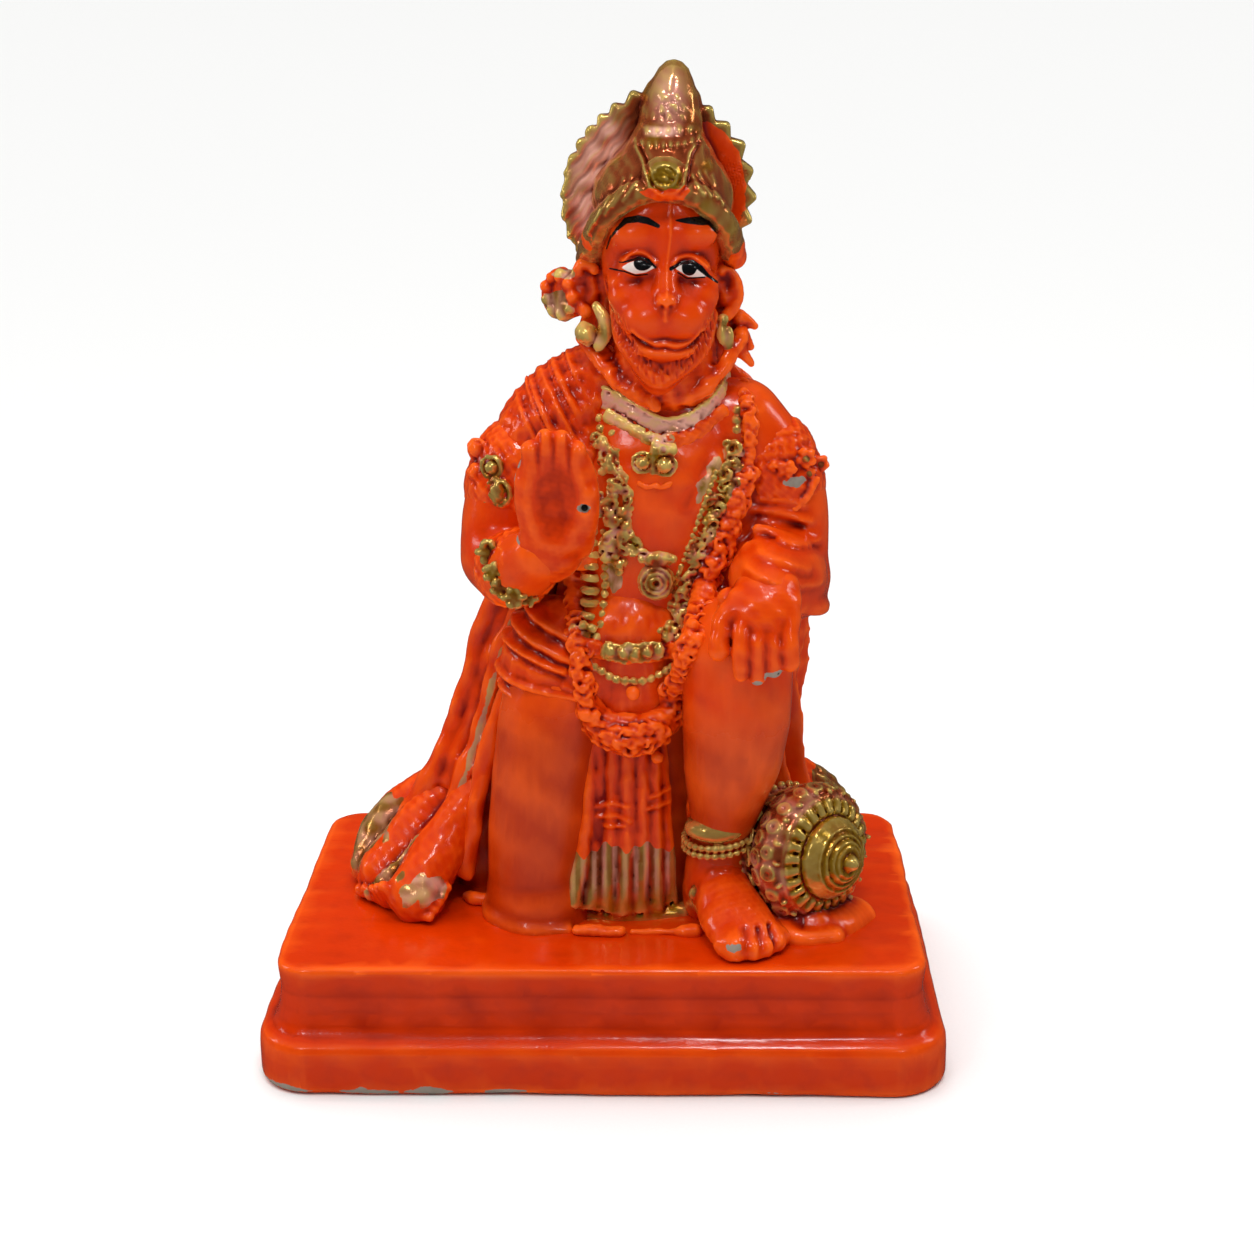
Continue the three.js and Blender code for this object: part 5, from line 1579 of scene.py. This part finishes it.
chest.emboss(*chest.box, lambda x, y, z: 0.12 * ripple(x, y, z, 1.9, 101) + 0.08 * ripple(x, y, z, 4, 102))


def chest_paint(points, normals):
    """Rose and yellow gold in turns, with silvery pink on the collar."""
    x, y, z = points.T
    collar = np.clip(1.6 + ripple(x, y, z, 9, 105)
                     - np.maximum(from_line(x, z, [(a, b, 3) for a, b in COLLAR]), 0), 0, 1)
    glints = np.clip(ripple(x, y, z, 6, 104), 0, 1)
    return {"rose": 0.3 + 0.45 * ripple(x, y, z, 8, 103), "silver": np.maximum(0.9 * collar, 0.6 * glints)}


sculpted("chest_jewellery", chest, paint_skin, chest_paint, most=130_000)

# %% [markdown]
# ## Straps on the arms
# Each upper arm has a band with a flower and a gem, and the raised arm has a bracelet with leaves.

# %% Sculpt the straps
straps = Clay((-38, -26, 84), (-8, 16, 130), 0.36)
straps.add(limb([(-20.2, 4, 117, 12.4), (-22.6, 3.2, 111.2, 12.4)], steps=1), soft=0.4)
for at, size, tall, gold in (((-30.6, -1.6, 122), 2.4, 2.4, False), ((-26.8, -7, 118.6), 1.7, 1.7, True),
                             ((-25.2, -8.2, 112.4), 2.2, 3, True),
                             ((-31.2, -3.6, 116.4), 1.6, 2.6, False), ((-29.4, -5, 112), 1.4, 2.8, False)):
    straps.add(ball(at, (size, 1.4, tall)), soft=0.6, gold=gold)
    straps.add(hoop(at, (-0.4, -1, 0), size + (1 if gold else 0.1), 0.6), soft=0.5, gold=gold)
straps.add(limb([(-21.4, -10, 93, 10.6), (-18.6, -14.6, 95.6, 9.4)], steps=1), soft=0.4)
for turn in turns(18):
    straps.add(ball((-17.4 + 2 * math.sin(turn), -15 - 6.4 * math.cos(turn) * 0.9,
                     96.2 + 8.8 * math.sin(turn)), 0.8), soft=0.3, gold=True)
BRACELET = (  # its leaves and patches: place in the picture's plane, size, number of leaves
    (-27.2, 99.4, 3, 6), (-25.8, 95.2, 2.6, 5), (-24.4, 91.6, 2.4, 5), (-20.6, 89.4, 2.8, 6),
    (-17, 88.4, 2, 5),
)
for x, z, size, leaves in BRACELET:
    y = front_of([x], [z], (body, straps))[0] - 0.2
    straps.add(ball((x, y, z), (size * 0.8, 1.2, size * 0.8)), soft=0.8, gold=True)
    for turn in turns(leaves):
        straps.add(ball((x + size * 0.7 * math.cos(turn), y - 0.3, z + size * 0.8 * math.sin(turn)),
                        (size * 0.5, 1.2, size * 0.36), turn), soft=0.4, gold=True)
straps.emboss(*straps.box, lambda x, y, z: 0.14 * ripple(x, y, z, 2, 111) + 0.1 * ripple(x, y, z, 4.4, 112))


def left_straps_paint(points, normals):
    x, y, z = points.T
    return {"gold": np.where(z > 104, -1 + 0.8 * ripple(x, y, z, 5, 113), -3),
            "rose": 0.15 + 0.2 * ripple(x, y, z, 5, 114)}


sculpted("left_arm_straps", straps, paint_skin, left_straps_paint, most=40_000)

straps = Clay((30, -14, 102), (64, 18, 130), 0.36)
straps.add(limb([(43.6, 4.8, 118, 12.1), (46, 4.2, 112, 12.1)], steps=1), soft=0.4)
for x, z, size in ((47.6, 117.8, 2.4), (52.3, 120.1, 2.6), (56.4, 117.4, 2.2), (49.6, 114, 1.9),
                   (44.6, 118.6, 1.6), (53.2, 116, 1.8)):
    y = 4.4 - math.sqrt(max(12.1**2 - (x - 45.2) ** 2, 4)) * 0.96
    for turn in turns(5):
        across, up = 0.6 * size * math.cos(turn + x), 0.6 * size * math.sin(turn + x)
        straps.add(ball((x + across, y, z + up), size * 0.46), soft=0.5)
    straps.add(ball((x, y - 0.5, z), size * 0.4), soft=0.4, gold=x > 48)
straps.add(limb([(55, -4.4, 114.4, 1), (52.8, -6.2, 110.6, 1.1), (49.7, -7, 107.6, 1)]), soft=0.5)
straps.emboss(*straps.box, lambda x, y, z: 0.16 * ripple(x, y, z, 2, 115) + 0.1 * ripple(x, y, z, 5, 116))


def right_straps_paint(points, normals):
    x, y, z = points.T
    plates = spot(points, (50, -7.4, 114.6), 2.2, (1.6, 2, 0.7))
    return {"chip": plates + 0.5 * ripple(x, y, z, 3, 117) - 0.3, "rose": 0.4}


sculpted("right_arm_straps", straps, paint_skin, right_straps_paint, most=30_000)

# %% [markdown]
# ## The mace
# The mace lies with its head towards the viewer. Its head is turned about the shaft's axis: rings, a row
# of blocks and a pointed knob. Ring scrolls are spread over its rose-brown belly.

# %% Sculpt the mace
MACE_AT, MACE_AXIS = np.array((54.7, -19.7, 18.5)), Vector((0.688, -0.718, 0.106)).normalized()
MACE_SIDE = MACE_AXIS.cross(Vector((0, 0, 1))).normalized()
MACE_UP = np.array(MACE_SIDE.cross(MACE_AXIS))
MACE_SIDE, MACE_AXIS = np.array(MACE_SIDE), np.array(MACE_AXIS)


def on_mace(radius, along, turn):
    """A point at some radius and turn about the mace's axis."""
    return MACE_AT + MACE_AXIS * along + radius * (MACE_SIDE * math.cos(turn) + MACE_UP * math.sin(turn))


mace = Clay((26, -42, -3), (75, 6, 40), 0.34)
mace.add(turned([(0, -30), (3.4, -30), (3.4, -14.6), (13, -13.6), (15.6, -12), (15.4, -9.6), (14.4, -8.6),
                 (15.8, -6.4),
                 (17.4, -3.4), (18.2, 0), (17.6, 2.6), (15.6, 4.6), (13.4, 5.6), (12.6, 5.2), (11.4, 5.2),
                 (10.9, 6.2), (10.6, 8),
                 (9, 10), (7, 11), (6.4, 10.8), (5.6, 12), (3.4, 13.2), (2.4, 13.2), (1.4, 15.2), (0, 16)],
                 MACE_AT, MACE_AXIS), soft=0.4, gold=True)
for turn in turns(26):
    mace.add(limb([(*on_mace(12.2, 6, turn), 1.15, 0.8), (*on_mace(14.6, 4.9, turn), 1.35, 0.8)],
                  wide=np.cross(MACE_AXIS, on_mace(1, 0, turn) - MACE_AT), steps=1), soft=0.3, gold=True)
for radius, along, thick in ((11.3, 5.9, 0.5), (15.6, 4.2, 0.45), (8.3, 10.4, 0.35), (6.6, 11.2, 0.5),
                             (5, 12.3, 0.4), (3.8, 12.9, 0.35)):
    mace.add(hoop(MACE_AT + MACE_AXIS * along, MACE_AXIS, radius, thick), soft=0.3, gold=True)
for row, (along, count, offset) in enumerate(((1, 19, 0), (-3.6, 20, 0.5), (-8, 17, 0.2))):
    for i in range(count):
        turn = TURN * (i + offset + random.uniform(-0.12, 0.12)) / count
        own = along + random.uniform(-0.5, 0.5)
        radius = np.interp(own, (-9.6, -6.4, -3.4, 0, 2.6), (15.2, 15.8, 17.4, 18.2, 17.6))
        at = on_mace(radius, own, turn)
        axis = on_mace(1, (0.25, -0.4, -0.6)[row], turn) - MACE_AT
        size = random.uniform(1.4, 2.2)
        mace.add(hoop(at, axis, size, 0.4), soft=0.5, gold=True)
        mace.add(hoop(at, axis, size * 0.5, 0.36), soft=0.4, gold=True)
        leaf = on_mace(radius - 0.9, own + random.uniform(1.8, 2.8), turn + TURN / count / 2)
        mace.add(ball(leaf, (1, 0.9, 0.6), random.uniform(-1, 1)), soft=0.5, gold=True)
for turn in turns(34):
    mace.add(ball(on_mace(15.9, -11, turn), 1.1), soft=0.4, gold=True)
mace.emboss(*mace.box, lambda x, y, z: 0.07 * ripple(x, y, z, 2.4, 121) + 0.08 * ripple(x, y, z, 7, 122))
mace.add(limb([(49, -25, -1, 8, 6.4), (58, -24, -1.4, 8.4, 6.4), (66, -16, -1.5, 7, 5)]), soft=0.8)
mace.add(limb([(42, -16, 6, 4), (44, -26, 2.4, 3.6), (50, -33, 0.4, 3), (60, -32, 0, 2.6)]), soft=1.6)


def mace_paint(points, normals):
    away = points - MACE_AT
    along = away @ MACE_AXIS
    radius = np.linalg.norm(away - along[:, None] * MACE_AXIS, axis=1)
    belly = np.clip((radius - 14.8) / 0.8, 0, 1)
    worn = np.clip(0.3 + ripple(*points.T, 7, 124), 0, 1)
    return {"rose": belly * 0.7 + 0.12 * ripple(*points.T, 8, 123) - 0.1, "silver": 0.35 * belly * worn}


sculpted("mace", mace, paint_skin, mace_paint, most=84_000)
